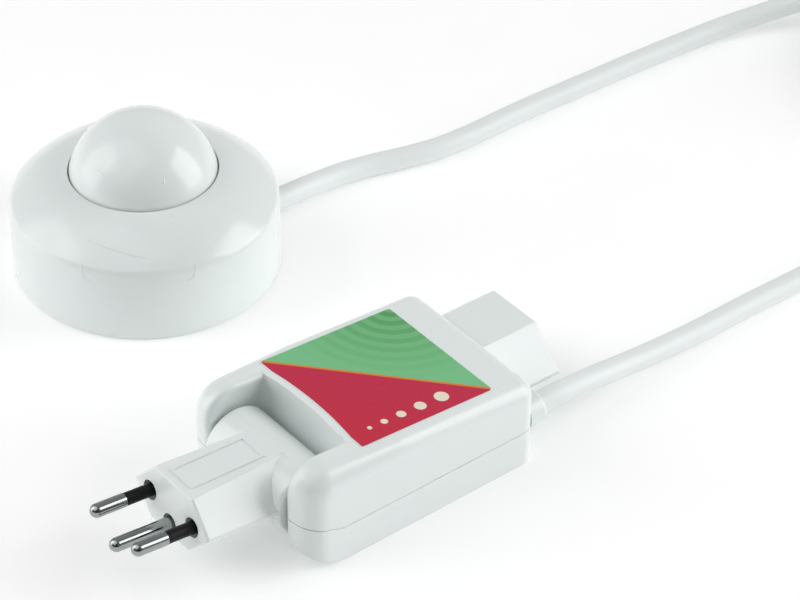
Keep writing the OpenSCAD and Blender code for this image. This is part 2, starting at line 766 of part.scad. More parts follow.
// Label on the sloping top, with its front edge following the dished wall
module label() color([0.78, 0.08, 0.16])
    translate([axis_x, 0, housing_front_h + eps]) rotate([0, slope, 0]) linear_extrude(label_t)
        difference() {
            x0 = recess_x - axis_x + label_in;
            corner_x = x0 + label_w - label_corner;
            corner_y = label_w / 2 - label_corner;
            union() {
                translate([x0, -corner_y]) square([label_w, 2 * corner_y]);
                translate([x0, -label_w / 2]) square([label_w - label_corner, label_w]);
                for (s = [-1, 1]) translate([corner_x, s * corner_y]) circle(label_corner);
            }
            translate([label_in - axis_x, 0]) dish_outline();
        }

// Face plate at the bottom of the socket's well, with a mouth for each pin
module socket_face() color(white) difference() {
    translate([0, socket_y, split_h]) along_x(contact_end, well_x)
        ridged_outline(well_w - 2 * snug, well_h - 2 * snug);
    for (p = contact_places) translate([0, p.x, p.y])
        rod_x(contact_end - eps, well_x + eps, contact_r + mouth_clear);
}

// Insert behind the face plate, which carries the contacts
module socket_insert() color(white) difference() {
    union() {
        translate([0, socket_y, split_h]) along_x(insert_x, contact_end - snug)
            ridged_outline(well_w - 2 * snug, well_h - 2 * snug);
        block([cavity_end - insert_flange, socket_y - well_w / 2, wall + snug],
            [cavity_end - snug, min(cavity_y, socket_y + well_w / 2) - snug, 2 * split_h - wall - snug]);
    }
    for (p = contact_places) translate([0, p.x, p.y])
        rod_x(insert_x - eps, contact_end, contact_out_r + contact_clear);
}

// Sprung brass sleeve that takes one pin of another plug
module contact(i) color(brass) translate([0, contact_places[i].x, contact_places[i].y]) difference() {
    rod_x(contact_end - contact_l, contact_end, contact_out_r);
    rod_x(contact_end - contact_l + contact_floor, well_x, contact_r);
    block([contact_end - contact_l - eps, -contact_slit / 2, 0],
        [contact_end - contact_l / 2, contact_slit / 2, far]);
}
module line_contact() contact(0);
module neutral_contact() contact(1);
module earth_contact() contact(2);

// Collar with a groove that the two shells close on
module cord_gland() color(white) translate([rear_x, gland_y, split_h]) rotate([0, 90, 0]) rotate_extrude() {
    bore = cord_r + cord_clear;
    groove = gland_r - gland_groove - snug;
    polygon(concat([[bore, -wall - gland_in], [gland_r, -wall - gland_in], [gland_r, -wall - snug],
        [groove, -wall - snug], [groove, snug], [gland_r, snug]],
        arc([gland_r - gland_edge, gland_l - gland_edge], gland_edge, 0, 90, 5), [[bore, gland_l]]));
}

// Stripped end of the cord inside the dimmer
module cord_tail() color(white) translate([0, gland_y, split_h]) rod_x(clamp_x - tail_l, gland_end, cord_r);

// Saddle that holds the cord down on its rest
module saddle() {
    difference() {
        along_x(-clamp_l / 2, clamp_l / 2) difference() {
            union() {
                circle(cord_r + clamp_t);
                translate([0, snug]) square([cord_r + clamp_ear, clamp_t]);
            }
            translate([-far, -far]) square([2 * far, far + snug]);
            translate([-far, -far]) square([far - cord_r - clamp_lip, 2 * far]);
        }
        rod_x(-clamp_l, clamp_l, cord_r + snug);
        translate([0, clamp_screw_y, 0]) cylinder(r = screw_r + through_clear, h = far);
    }
}
module saddle_screw() {
    translate([0, clamp_screw_y, snug + clamp_t + screw_head_t]) mirror([0, 0, 1])
        screw(clamp_head_r, screw_head_t, screw_r, clamp_screw_l);
}
module cord_clamp() color(white) translate([clamp_x, gland_y, split_h]) saddle();
module clamp_screw() color(nickel) translate([clamp_x, gland_y, split_h]) saddle_screw();

// Printed circuit board, notched round the screw bosses
module circuit_board() color([0.1, 0.35, 0.2]) difference() {
    block([board_x0, -board_y, board_z], [board_x1, board_y, board_top]);
    for (p = boss_places) translate([p.x, p.y, 0]) cylinder(r = boss_r + notch_clear, h = far);
    block([board_x0 - eps, cavity_y - 2 * boss_in, 0], [boss_places[0].x, far, far]);
    block([board_x0 - eps, -far, 0], [boss_places[0].x, 2 * boss_in - cavity_y, far]);
}

// Aluminium plate bent to an angle, with the triac on its upright
module heat_sink() color([0.8, 0.81, 0.82]) {
    block([sink_x, -sink_w / 2, board_top], [sink_x + sink_t, sink_w / 2, board_top + sink_h]);
    block([sink_x, -sink_w / 2, board_top], [sink_x + sink_foot, sink_w / 2, board_top + sink_t]);
    for (i = [-2:2]) translate([sink_x, i * fin_pitch, board_top])
        block([-fin_out, -fin_t / 2, fin_z], [eps, fin_t / 2, sink_h]);
}
module triac() color(black) translate([sink_x + sink_t, 0, board_top]) difference() {
    union() {
        block([0, -triac_w / 2, triac_z], [tab_t, triac_w / 2, tab_top]);
        block([0, -triac_w / 2, triac_z], [triac_t, triac_w / 2, triac_top]);
        for (i = [-1:1]) translate([lead_x, i * lead_pitch, 0])
            block([-lead_t / 2, -lead_w / 2, 0], [lead_t / 2, lead_w / 2, triac_z + eps]);
    }
    translate([0, 0, tab_hole_z]) rod_x(-eps, tab_t + eps, tab_hole_r);
}

module choke_core() color([0.55, 0.52, 0.2]) translate([choke_at.x, choke_at.y, core_z]) difference() {
    cylinder(r = core_r, h = core_h);
    translate([0, 0, -eps]) cylinder(r = core_bore_r, h = core_h + 2 * eps);
}
module choke_winding() color([0.7, 0.38, 0.16]) tube(choke_path, wire_r, 6, choke_refs);

// Boxed film capacitor across the mains
module film_capacitor() color([0.9, 0.75, 0.1])
    translate([film_at.x, film_at.y, board_top]) cube(film_size);

// Upright electrolytic capacitor with its crimped waist
module bulk_capacitor() color([0.12, 0.14, 0.3]) translate([bulk_at.x, bulk_at.y, board_top])
    rotate_extrude()
        polygon([[0, 0], [bulk_r, 0], [bulk_r, waist_z - bulk_edge], [bulk_r - bulk_edge, waist_z],
            [bulk_r, waist_z + bulk_edge], [bulk_r, bulk_h - bulk_edge], [bulk_r - bulk_edge, bulk_h],
            [0, bulk_h]]);

// Chip on two rows of legs
module control_chip() color(black) translate([chip_at.x, chip_at.y, board_top]) {
    translate([-chip_size.x / 2, -chip_size.y / 2, chip_stand]) cube(chip_size);
    for (i = [0:3], s = [-1, 1]) translate([s * chip_size.x / 2, (i - 1.5) * lead_pitch, 0])
        block([min(0, s * chip_leg) - eps, -chip_leg_w / 2, 0],
            [max(0, s * chip_leg) + eps, chip_leg_w / 2, chip_leg_h]);
}

// Three-way terminal for the cord's cores
module terminal_block() color([0.2, 0.45, 0.3])
    translate([terminal_at.x, terminal_at.y, board_top]) difference() {
        translate([-terminal_size.x, -terminal_size.y / 2, 0]) cube(terminal_size);
        for (i = [-1:1]) translate([0, i * terminal_pitch, terminal_hole_z]) {
            rod_x(terminal_floor - terminal_size.x, eps, terminal_hole_r);
            translate([-terminal_size.x / 2, 0, 0]) cylinder(r = terminal_hole_r + snug, h = far);
        }
    }

// Glass fuse with end caps, held in two spring clips
module fuse_tube() color([0.8, 0.85, 0.85, 0.5]) translate([fuse_x, fuse_y, fuse_z]) difference() {
    rod_x(2 * cap_t, fuse_l - 2 * cap_t, glass_r);
    rod_x(0, fuse_l, glass_r - glass_t);
}
module fuse_ends() {
    for (s = [0, 1]) translate([fuse_x + s * fuse_l, fuse_y, fuse_z]) mirror([s, 0, 0]) children();
}
module fuse_caps() color(nickel) fuse_ends() difference() {
    rod_x(0, cap_l, fuse_r);
    rod_x(cap_t, cap_l + eps, fuse_r - cap_t);
}
module fuse_clips() color(brass) fuse_ends() difference() {
    out_r = fuse_r + clip_t;
    foot_z = board_top - fuse_z;
    union() {
        block([clip_in, -out_r, foot_z], [cap_l - clip_in, out_r, 0]);
        rod_x(clip_in, cap_l - clip_in, out_r);
    }
    rod_x(0, cap_l, fuse_r + fuse_clear);
    block([0, clip_t - fuse_r, foot_z + clip_t], [cap_l, fuse_r - clip_t, 0]);
    block([0, -clip_mouth, 0], [cap_l, clip_mouth, far]);
}

// Sets what belongs to the plug at its angle on the swivel axis
module on_plug() {
    translate([axis_x, 0, axis_h]) rotate([0, plug_tilt, 0]) children();
}

// Six-sided plug with softened edges, whose flats spread from its face to the barrel
module plug_form() {
    hull() {
        for (p = ridge_corners(plug_w, plug_h, plug_edge_r))
            translate([plug_edge_r - plug_reach, p.x, p.y]) sphere(plug_edge_r, $fn = soft_steps);
        for (p = ridge_corners(plug_w, 2 * barrel_r, plug_edge_r))
            translate([0, p.x, p.y]) sphere(plug_edge_r, $fn = soft_steps);
    }
}

// Raised frame on the plug's upper flat
module plug_frame() {
    translate([-plug_reach, 0, plug_h / 2]) rotate([0, -plug_rise, 0]) translate([frame_in, 0, -snug])
        linear_extrude(frame_t + snug) difference() {
            translate([0, -frame_w / 2]) square([frame_l, frame_w]);
            translate([frame_line, frame_line - frame_w / 2])
                square([frame_l - 2 * frame_line, frame_w - 2 * frame_line]);
        }
}

// Moulding of the plug with the barrel and trunnions that it turns on
module plug_body() color(white) on_plug() difference() {
    union() {
        difference() {
            union() {
                plug_form();
                rotate([90, 0, 0]) rotate_extrude() barrel_outline();
            }
            both_sides() rod_y(barrel_half, far, washer_r + snug);
        }
        rod_y(-trunnion_end, trunnion_end, trunnion_r);
        plug_frame();
    }
    along_x(-plug_reach + face_t, -carrier_end)
        ridged_outline(carrier_w + 2 * carrier_clear, carrier_h + 2 * carrier_clear);
    for (p = pin_places) translate([0, p.x, p.y])
        rod_x(-plug_reach - eps, -plug_reach + face_t + eps, pin_hole_r);
    rod_y(-far, far, trunnion_r - trunnion_wall);
}
module barrel_outline() {
    translate([0, -barrel_half]) square([barrel_r - barrel_edge, 2 * barrel_half]);
    translate([0, barrel_edge - barrel_half]) square([barrel_r, 2 * (barrel_half - barrel_edge)]);
    for (s = [-1, 1]) translate([barrel_r - barrel_edge, s * (barrel_half - barrel_edge)])
        circle(barrel_edge);
}

// Insert moulded into the plug that carries the pins
module pin_carrier() color(black) on_plug() difference() {
    along_x(-plug_reach + face_t, -carrier_end) ridged_outline(carrier_w, carrier_h);
    for (p = pin_places) translate([0, p.x, p.y]) rod_x(-plug_reach, eps - carrier_end, shank_r + pin_clear);
    for (i = [0, 1]) translate([0, pin_places[i].x, pin_places[i].y])
        rod_x(-plug_reach, sleeve_end, sleeve_r + pin_clear);
}

// Pin with a domed end and a thinner shank from its neck on
module pin(i, neck) color(nickel) on_plug() translate([0, pin_places[i].x, pin_places[i].y]) {
    tip = -plug_reach - pin_l + pin_r;
    rod_x(tip, neck, pin_r);
    intersection() {
        translate([tip, 0, 0]) sphere(pin_r);
        rod_x(tip - far, tip, pin_r + eps);
    }
    rod_x(neck - eps, -carrier_end - pin_back, shank_r);
}
module line_pin() pin(0, -plug_reach - sleeve_l);
module neutral_pin() pin(1, -plug_reach - sleeve_l);
module earth_pin() pin(2, -plug_reach);

module pin_sleeves() color(black) on_plug() for (i = [0, 1])
    translate([0, pin_places[i].x, pin_places[i].y]) difference() {
        rod_x(-plug_reach - sleeve_l, sleeve_end, sleeve_r);
        rod_x(-far, far, shank_r + pin_clear);
    }

// Friction washers between the barrel and the ears
module swivel_washers() color([0.3, 0.3, 0.32]) translate([axis_x, 0, axis_h]) both_sides() difference() {
    rod_y(barrel_half + snug, barrel_half + snug + washer_t, washer_r);
    rod_y(0, far, trunnion_r + washer_clear);
}

module cord_to_dimmer() color(white) tube(dimmer_route, cord_r, 10, [[0, 0, 1]]);
module cord_to_foot() color(white) tube(foot_route, cord_r, 10, [[0, 0, 1]]);
module cord_coil() color(white) tube(coil_path, cord_r, 6, [[0, 0, 1]]);

// Paper-covered wire tie round all the turns, on the side that faces the dimmer
module coil_tie() color([0.85, 0.85, 0.84]) {
    mid_r = coil_inner_r + coil_pitch * coil_turns / 2 - coil_pitch / 4;
    in_w = coil_pitch * (coil_turns - 1) + cord_d + tie_slack;
    in_h = coil_pitch + cord_d + 2 * snug;
    round_r = cord_r * 0.5;
    translate([coil_at.x - mid_r, coil_at.y - tie_w / 2, tie_t]) rotate([90, 0, 180])
        linear_extrude(tie_w) difference() {
            tie_outline(in_w + 2 * tie_t, in_h + 2 * tie_t, round_r + tie_t, -tie_t);
            tie_outline(in_w, in_h, round_r, 0);
        }
}
module tie_outline(w, h, r, y0) {
    translate([-w / 2, y0 + r]) square([w, h - 2 * r]);
    translate([r - w / 2, y0]) square([w - 2 * r, h]);
    for (x = [r - w / 2, w / 2 - r], y = [y0 + r, y0 + h - r]) translate([x, y]) circle(r);
}

// Sets what belongs to the foot control on its axis
module on_foot() {
    translate([foot_x, foot_y, 0]) children();
}

// Profile of the cover, set in from the outside by a wall
function cover_edge(in) = concat(
    arc([foot_r - shoulder_r, shoulder_h], shoulder_r - in, 0, shoulder_turn, 6),
    arc(crown_c, crown_r - in, shoulder_turn, crown_turn, 8));
module foot_bosses(r, z0, z1) {
    for (a = foot_boss_turns) rotate(a) translate([foot_boss_ring, 0, z0]) cylinder(r = r, h = z1 - z0);
}

module foot_cover() color(white) on_foot() difference() {
    union() {
        rotate_extrude($fn = 128) difference() {
            polygon(concat([[foot_r - foot_wall, pad_h], [foot_r, pad_h]], cover_edge(0),
                [[lip_r, shoulder_h], [foot_r - foot_wall, shoulder_h]]));
            polygon(concat([[foot_r - foot_wall, pad_h - eps]], cover_edge(foot_wall),
                [[0, foot_h - foot_wall], [0, pad_h - eps]]));
        }
        intersection() {
            foot_bosses(boss_r, base_top + snug, foot_h);
            rotate_extrude($fn = 128)
                polygon(concat([[0, pad_h], [foot_r - foot_wall / 2, pad_h]], cover_edge(foot_wall / 2),
                    [[0, foot_h - foot_wall / 2]]));
        }
    }
    foot_bosses(screw_r + pilot_clear, base_top, base_top + pilot_l);
    translate([0, foot_cord_y, foot_cord_h]) rod_x(foot_board_r, foot_r + eps, bush_r + snug);
    block([foot_board_r, foot_cord_y - bush_r - snug, 0],
        [foot_r + eps, foot_cord_y + bush_r + snug, foot_cord_h]);
}

module foot_base() color(white) on_foot() difference() {
    union() {
        translate([0, 0, pad_h]) cylinder(r = base_r, h = base_t, $fn = 128);
        for (a = foot_pillar_turns) rotate(a) translate([foot_pillar_ring, 0, base_top - eps])
            cylinder(r = foot_pillar_r, h = foot_board_z - base_top + eps);
        block([foot_clamp_x - clamp_l / 2, foot_cord_y - cord_r - clamp_lip, base_top - eps],
            [foot_clamp_x + clamp_l / 2, foot_cord_y + cord_r + clamp_ear, foot_cord_h]);
    }
    foot_bosses(screw_r + through_clear, 0, base_top + eps);
    foot_bosses(screw_head_r + head_clear, 0, pad_h + foot_seat);
    for (a = pad_turns) rotate(a) translate([pad_ring, 0, 0]) cylinder(r = pad_r + snug, h = 2 * pad_h);
    for (a = foot_pillar_turns) rotate(a) translate([foot_pillar_ring, 0, pad_h + foot_seat])
        cylinder(r = screw_r + pilot_clear, h = far);
    translate([0, foot_cord_y, foot_cord_h]) rod_x(foot_clamp_x - clamp_l, foot_r, cord_r + snug);
    block([bush_stop - bush_flange_t, foot_cord_y - bush_flange_r - snug, 0],
        [foot_r, foot_cord_y + bush_flange_r + snug, far]);
    translate([foot_clamp_x, foot_cord_y + clamp_screw_y, pad_h + foot_seat])
        cylinder(r = screw_r + pilot_clear, h = far);
}

module foot_screws() color(nickel) on_foot() for (a = foot_boss_turns) rotate(a)
    translate([foot_boss_ring, 0, pad_h + foot_seat - screw_head_t / 2])
        screw(screw_head_r, screw_head_t / 2, screw_r, base_t + foot_screw_in);

module foot_pads() color([0.15, 0.15, 0.16]) on_foot() for (a = pad_turns) rotate(a)
    translate([pad_ring, 0, 0]) cylinder(r = pad_r, h = 2 * pad_h);

module foot_board() color([0.1, 0.35, 0.2]) on_foot() difference() {
    translate([0, 0, foot_board_z]) cylinder(r = foot_board_r, h = board_t);
    for (a = foot_pillar_turns) rotate(a) translate([foot_pillar_ring, 0, 0])
        cylinder(r = screw_r + through_clear, h = far);
}
module board_screws() color(nickel) on_foot() for (a = foot_pillar_turns) rotate(a)
    translate([foot_pillar_ring, 0, foot_board_top + board_head_t]) mirror([0, 0, 1])
        screw(clamp_head_r, board_head_t, screw_r, board_screw_l);

// Push switch in the middle of the board
module push_switch() color(black) on_foot() difference() {
    block([-switch_w / 2, -switch_w / 2, foot_board_top], [switch_w / 2, switch_w / 2, switch_top]);
    translate([0, 0, foot_board_top + switch_floor]) cylinder(r = plunger_r + run_gap, h = far);
}
module switch_plunger() color([0.85, 0.2, 0.15]) on_foot() translate([0, 0, switch_top - plunger_in])
    cylinder(r = plunger_r, h = plunger_top - switch_top + plunger_in);

// Ring-shaped potentiometer round the switch: housing, track, rotor and wiper
module pot_housing() color([0.2, 0.22, 0.26]) on_foot() translate([0, 0, foot_board_top]) difference() {
    race_h = rotor_z - foot_board_top + rotor_flange_t + run_gap;
    cylinder(r = rotor_flange_r + pot_wall, h = race_h + pot_lid);
    translate([0, 0, -eps]) cylinder(r = rotor_flange_r + run_gap, h = race_h + eps);
    cylinder(r = rotor_r + run_gap, h = far);
}
module pot_track() color([0.1, 0.1, 0.1]) on_foot() translate([0, 0, foot_board_top]) difference() {
    cylinder(r = rotor_flange_r, h = track_t);
    translate([0, 0, -eps]) cylinder(r = rotor_r - rotor_wall, h = track_t + 2 * eps);
}
module pot_rotor() color([0.86, 0.87, 0.86]) on_foot() difference() {
    union() {
        translate([0, 0, rotor_z]) cylinder(r = rotor_r, h = rotor_top - rotor_z);
        translate([0, 0, rotor_z]) cylinder(r = rotor_flange_r, h = rotor_flange_t);
    }
    translate([0, 0, ledge_z + ledge_t]) cylinder(r = rotor_r - rotor_wall, h = far);
    translate([0, 0, rotor_z - eps]) cylinder(r = rotor_r - rotor_wall, h = ledge_z - rotor_z + eps);
    cylinder(r = ledge_bore_r, h = far);
    for (a = key_turns) rotate(a)
        block([key_in_r - run_gap, -key_w / 2 - run_gap, rotor_z],
            [rotor_r - rotor_wall, key_w / 2 + run_gap, far]);
}
module pot_wiper() color(brass) on_foot() intersection() {
    translate([0, 0, foot_board_top + track_t + snug]) difference() {
        cylinder(r = rotor_flange_r - 2 * snug, h = rotor_z - foot_board_top - track_t - snug);
        translate([0, 0, -eps]) cylinder(r = rotor_r - rotor_wall + 2 * snug, h = far);
    }
    rotate(wiper_turn) block([0, -wiper_w / 2, 0], [far, wiper_w / 2, far]);
}

module button_spring() color([0.7, 0.7, 0.72]) on_foot() tube(spring_path, spring_wire_r, 6, [[0, 0, 1]]);

// Dome with its retaining rim, the stem that works the switch and the keys that turn the rotor
module foot_button() color(white) on_foot() {
    rotate_extrude($fn = 128) {
        intersection() {
            difference() {
                translate([0, dome_z]) circle(dome_r, $fn = 128);
                translate([0, dome_z]) circle(dome_r - foot_wall, $fn = 128);
            }
            translate([0, foot_h]) square([far, far]);
        }
        translate([skirt_r, collar_z]) square([dome_edge_r - skirt_r, foot_h - collar_z]);
        translate([0, collar_z]) square([rim_r, rim_t]);
        translate([0, plunger_top]) square([stem_r, dome_z + dome_r - foot_wall / 2 - plunger_top]);
    }
    for (a = key_turns) rotate(a) intersection() {
        block([key_in_r, -key_w / 2, ledge_z - key_drop], [far, key_w / 2, collar_z + eps]);
        cylinder(r = key_out_r, h = far);
    }
}

// Bush that guides the cord through the cover's wall
module foot_bush() color(white) on_foot() translate([0, foot_cord_y, foot_cord_h]) difference() {
    union() {
        rod_x(bush_stop - bush_flange_t, foot_r + bush_out, bush_r);
        rod_x(bush_stop - bush_flange_t, bush_stop, bush_flange_r);
    }
    rod_x(0, far, cord_r + cord_clear);
}
module foot_cord_tail() color(white) on_foot() translate([0, foot_cord_y, foot_cord_h])
    rod_x(foot_board_r + board_clear, foot_r + bush_out, cord_r);
module at_foot_clamp() {
    on_foot() translate([foot_clamp_x, foot_cord_y, foot_cord_h]) children();
}
module foot_clamp() color(white) at_foot_clamp() saddle();
module foot_clamp_screw() color(nickel) at_foot_clamp() saddle_screw();

upper_shell();
lower_shell();
housing_screws();
label();
socket_face();
socket_insert();
line_contact();
neutral_contact();
earth_contact();
cord_gland();
cord_tail();
cord_clamp();
clamp_screw();
circuit_board();
heat_sink();
triac();
choke_core();
choke_winding();
film_capacitor();
bulk_capacitor();
control_chip();
terminal_block();
fuse_tube();
fuse_caps();
fuse_clips();
plug_body();
pin_carrier();
line_pin();
neutral_pin();
earth_pin();
pin_sleeves();
swivel_washers();
cord_to_dimmer();
cord_coil();
coil_tie();
cord_to_foot();
foot_cover();
foot_base();
foot_screws();
foot_pads();
foot_board();
board_screws();
push_switch();
switch_plunger();
pot_housing();
pot_track();
pot_rotor();
pot_wiper();
button_spring();
foot_button();
foot_bush();
foot_cord_tail();
foot_clamp();
foot_clamp_screw();
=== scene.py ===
"""Plug-in dimmer and its foot control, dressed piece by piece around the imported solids."""
import math
from functools import partial

import bmesh
import bpy
import numpy as np
from mathutils import Matrix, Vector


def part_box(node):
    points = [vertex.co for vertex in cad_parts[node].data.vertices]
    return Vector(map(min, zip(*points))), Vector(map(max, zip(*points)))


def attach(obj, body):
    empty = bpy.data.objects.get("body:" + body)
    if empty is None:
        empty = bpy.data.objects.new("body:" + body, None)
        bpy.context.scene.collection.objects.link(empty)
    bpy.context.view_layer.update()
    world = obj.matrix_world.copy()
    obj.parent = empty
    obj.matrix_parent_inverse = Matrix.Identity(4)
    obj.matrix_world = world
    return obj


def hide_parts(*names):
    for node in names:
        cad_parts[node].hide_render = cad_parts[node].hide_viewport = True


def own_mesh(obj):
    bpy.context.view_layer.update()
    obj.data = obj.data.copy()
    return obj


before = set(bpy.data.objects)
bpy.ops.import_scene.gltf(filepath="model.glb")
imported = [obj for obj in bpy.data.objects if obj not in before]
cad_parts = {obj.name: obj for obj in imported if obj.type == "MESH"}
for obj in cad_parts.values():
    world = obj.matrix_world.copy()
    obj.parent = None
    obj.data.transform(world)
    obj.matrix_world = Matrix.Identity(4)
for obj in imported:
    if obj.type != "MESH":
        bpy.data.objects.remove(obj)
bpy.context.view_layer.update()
mm = 0.001


# Camera: a long lens that looks down past the plug's pins at both units, from the front left.
# Its place, heading and slight roll follow the lines of the real object in the picture.
eye = np.array([-405.23, -513.46, 569.4]) * mm
ahead = np.array([0.4974, 0.6112, -0.6157])
level = np.array([0.7756, -0.6312, 0.0])
roll = math.radians(-0.75)
plumb = np.cross(ahead, level)
across = level * math.cos(roll) + plumb * math.sin(roll)
below = plumb * math.cos(roll) - level * math.sin(roll)


def add(name, data):
    """New object in the scene that holds the data."""
    made = bpy.data.objects.new(name, data)
    bpy.context.scene.collection.objects.link(made)
    return made


def placed(right, up, back, at):
    """Matrix of an object whose own axes point right, up and back and whose origin lies at a point."""
    return Matrix(np.vstack([np.column_stack([right, up, back, at]), [0, 0, 0, 1]]).tolist())


lens = bpy.data.cameras.new("long_lens")
lens.lens, lens.sensor_width, lens.sensor_fit = 139.99, 36.0, "HORIZONTAL"
lens.clip_start, lens.clip_end = 0.05, 60.0
camera = add("camera", lens)
camera.matrix_world = placed(across, -below, -ahead, eye)
bpy.context.scene.camera = camera


# Cord: a two-metre mains lead with a smooth white PVC sheath. It leaves the dimmer's gland, lies on the
# floor, is wound into a flat two-layer coil for its unseen length and runs back into the foot control.
cord_r = 3.5 * mm
to_coil = np.array([
    (46, -20.1, 11.5), (53, -20.1, 11.5), (67, -19.2, 9.6), (80, -18.3, 7.3), (94, -17.7, 5.4),
    (110, -17.2, 4.1), (127, -16.8, 3.6), (145, -17, 3.5), (163, -17.4, 3.5), (181, -17.4, 3.5),
    (199, -17.2, 3.5), (217, -17, 3.5), (235, -17, 3.5), (253, -17, 3.7), (266, -17, 4.1),
    (278, -17, 4.1)]) * mm
to_foot = np.array([
    (48.75, 108, 6), (55.75, 108, 6), (66, 108.6, 5.1), (76, 108.8, 4.2), (87, 107.4, 3.6),
    (98, 104.3, 3.5), (109, 101.8, 3.5), (122, 100.9, 3.5), (136, 101.1, 3.5), (151, 101.1, 3.5),
    (166, 100.6, 3.5), (182, 100.2, 3.5), (198, 99.6, 3.5), (214, 98.6, 3.6), (229, 96.6, 4.4),
    (242, 92.4, 6.4), (252, 87.8, 9), (261, 84.2, 11), (271, 83, 11.6), (278, 83, 11.6)]) * mm
coil_x, coil_y, coil_z = 285, 33, 4.1
coil_r, coil_step, climb_tuck = 50, 7.5, 2.1
turns_in, climb_turns = 3, 0.5
all_turns = 2 * turns_in + climb_turns


def coil_line(turns):
    """Points of the coil after so many turns: a spiral goes in by one step a turn, rises one step over half a
    turn at its inner radius, where it tucks in on a half wave, and goes out again on top at the same rate."""
    inner_r = coil_r - coil_step * turns_in
    climb = turns - turns_in
    tucked = inner_r - climb_tuck * np.sin(2 * np.pi * climb)
    radius = np.select([climb <= 0, climb <= climb_turns], [coil_r - coil_step * turns, tucked],
                       inner_r + coil_step * (climb - climb_turns))
    rise = np.clip(climb / climb_turns, 0, 1)
    angle = 2 * np.pi * turns - np.pi / 2
    return np.column_stack([coil_x + radius * np.cos(angle), coil_y + radius * np.sin(angle),
                            coil_z + coil_step * rise * rise * (3 - 2 * rise)]) * mm


def smooth_line(points, gap):
    """Cubic curve through the points, with the chord's length as its parameter and the slope at each point
    from its two neighbours, taken again at steps of about the gap."""
    along = np.append(0, np.cumsum(np.linalg.norm(np.diff(points, axis=0), axis=1)))
    slope = np.gradient(points, along, axis=0)
    at = np.linspace(0, along[-1], int(along[-1] / gap) + 1)
    i = np.clip(np.searchsorted(along, at, side="right") - 1, 0, len(points) - 2)
    h = (along[i + 1] - along[i])[:, None]
    t = (at - along[i])[:, None] / h
    return ((1 + 2 * t) * (1 - t) ** 2 * points[i] + t * (1 - t) ** 2 * h * slope[i]
            + t * t * (3 - 2 * t) * points[i + 1] + t * t * (t - 1) * h * slope[i + 1])


def tube_points(line, radius, sides, side=(0, 0, 1)):
    """Rings of points round a line: each ring lies across the line's heading, and the side direction fixes
    where the ring starts. The radius may change along the line."""
    head = np.gradient(line, axis=0)
    head /= np.linalg.norm(head, axis=1)[:, None]
    flat = np.cross(head, np.broadcast_to(side, head.shape))
    flat /= np.linalg.norm(flat, axis=1)[:, None]
    up = np.cross(flat, head)
    turn = np.linspace(0, 2 * np.pi, sides, endpoint=False)[None, :, None]
    size = np.broadcast_to(radius, len(line))[:, None, None]
    return line[:, None] + size * (np.cos(turn) * flat[:, None] + np.sin(turn) * up[:, None])


def skin(name, material, *grids, ring=False, sharp=40):
    """Mesh over grids of points whose second direction closes on itself. The first direction closes too where
    ring is set, and otherwise both ends are shut by a face. Edges sharper than the angle stay crisp."""
    points, faces, start = np.vstack([grid.reshape(-1, 3) for grid in grids]), [], 0
    for grid in grids:
        rows, cols = grid.shape[:2]
        i = np.arange(rows if ring else rows - 1)[:, None]
        j = np.arange(cols)[None, :]
        here, there = start + i * cols, start + (i + 1) % rows * cols
        beside = (j + 1) % cols
        faces += np.stack([here + j, here + beside, there + beside, there + j], -1).reshape(-1, 4).tolist()
        if not ring:
            last = start + (rows - 1) * cols
            faces += [list(range(start, start + cols))[::-1], list(range(last, last + cols))]
        start += rows * cols
    mesh = bpy.data.meshes.new(name)
    mesh.from_pydata(points.tolist(), [], faces)
    bm = bmesh.new()
    bm.from_mesh(mesh)
    bmesh.ops.recalc_face_normals(bm, faces=bm.faces)
    bm.to_mesh(mesh)
    bm.free()
    mesh.polygons.foreach_set("use_smooth", np.ones(len(mesh.polygons), bool))
    mesh.set_sharp_from_angle(angle=math.radians(sharp))
    mesh.materials.append(material)
    return add(name, mesh)


# Moulded skin, for every plastic: a faint cloud of tint, a change of gloss in patches and a fine grain, as a
# steel mould leaves them. The cord's sheath is the first to wear it, and each plastic has its own values.
def feed(tree, socket, term):
    """Leads a socket to an input, or sets a number or a linear colour there."""
    if isinstance(term, bpy.types.NodeSocket):
        tree.links.new(term, socket)
    elif isinstance(term, tuple):
        socket.default_value = (*term, 1)
    else:
        socket.default_value = term


def noise(tree, place, scale, detail, rough=0.5):
    """Output of a noise at a place; its scale counts per metre."""
    step = tree.nodes.new("ShaderNodeTexNoise")
    for name, term in (("Vector", place), ("Scale", scale), ("Detail", detail), ("Roughness", rough)):
        feed(tree, step.inputs[name], term)
    return step.outputs["Fac"]


def ramp(tree, value, low, high, least=0.0, most=1.0):
    """Output that goes evenly from least to most as the value goes from low to high."""
    step = tree.nodes.new("ShaderNodeMapRange")
    terms = {"Value": value, "From Min": low, "From Max": high, "To Min": least, "To Max": most}
    for name, term in terms.items():
        feed(tree, step.inputs[name], term)
    return step.outputs["Result"]


def blend(tree, factor, below, above, mode="MIX"):
    """Output of a Mix node between two colours, each a socket or a linear triple."""
    step = tree.nodes.new("ShaderNodeMix")
    step.data_type, step.blend_type = "RGBA", mode
    for name, term in (("Factor", factor), ("A", below), ("B", above)):
        feed(tree, step.inputs[name], term)
    return step.outputs["Result"]


def new_group(name, **more):
    """Node group that takes a place and more inputs of the given kinds, and gives a colour, a roughness and a
    height. The group comes back with the sockets of its inputs."""
    group = bpy.data.node_groups.new(name, "ShaderNodeTree")
    for label, kind in {"Place": "Vector", **more}.items():
        group.interface.new_socket(label.replace("_", " "), in_out="INPUT", socket_type="NodeSocket" + kind)
    for label, kind in {"Colour": "Color", "Roughness": "Float", "Height": "Float"}.items():
        group.interface.new_socket(label, in_out="OUTPUT", socket_type="NodeSocket" + kind)
    return group, group.nodes.new("NodeGroupInput").outputs


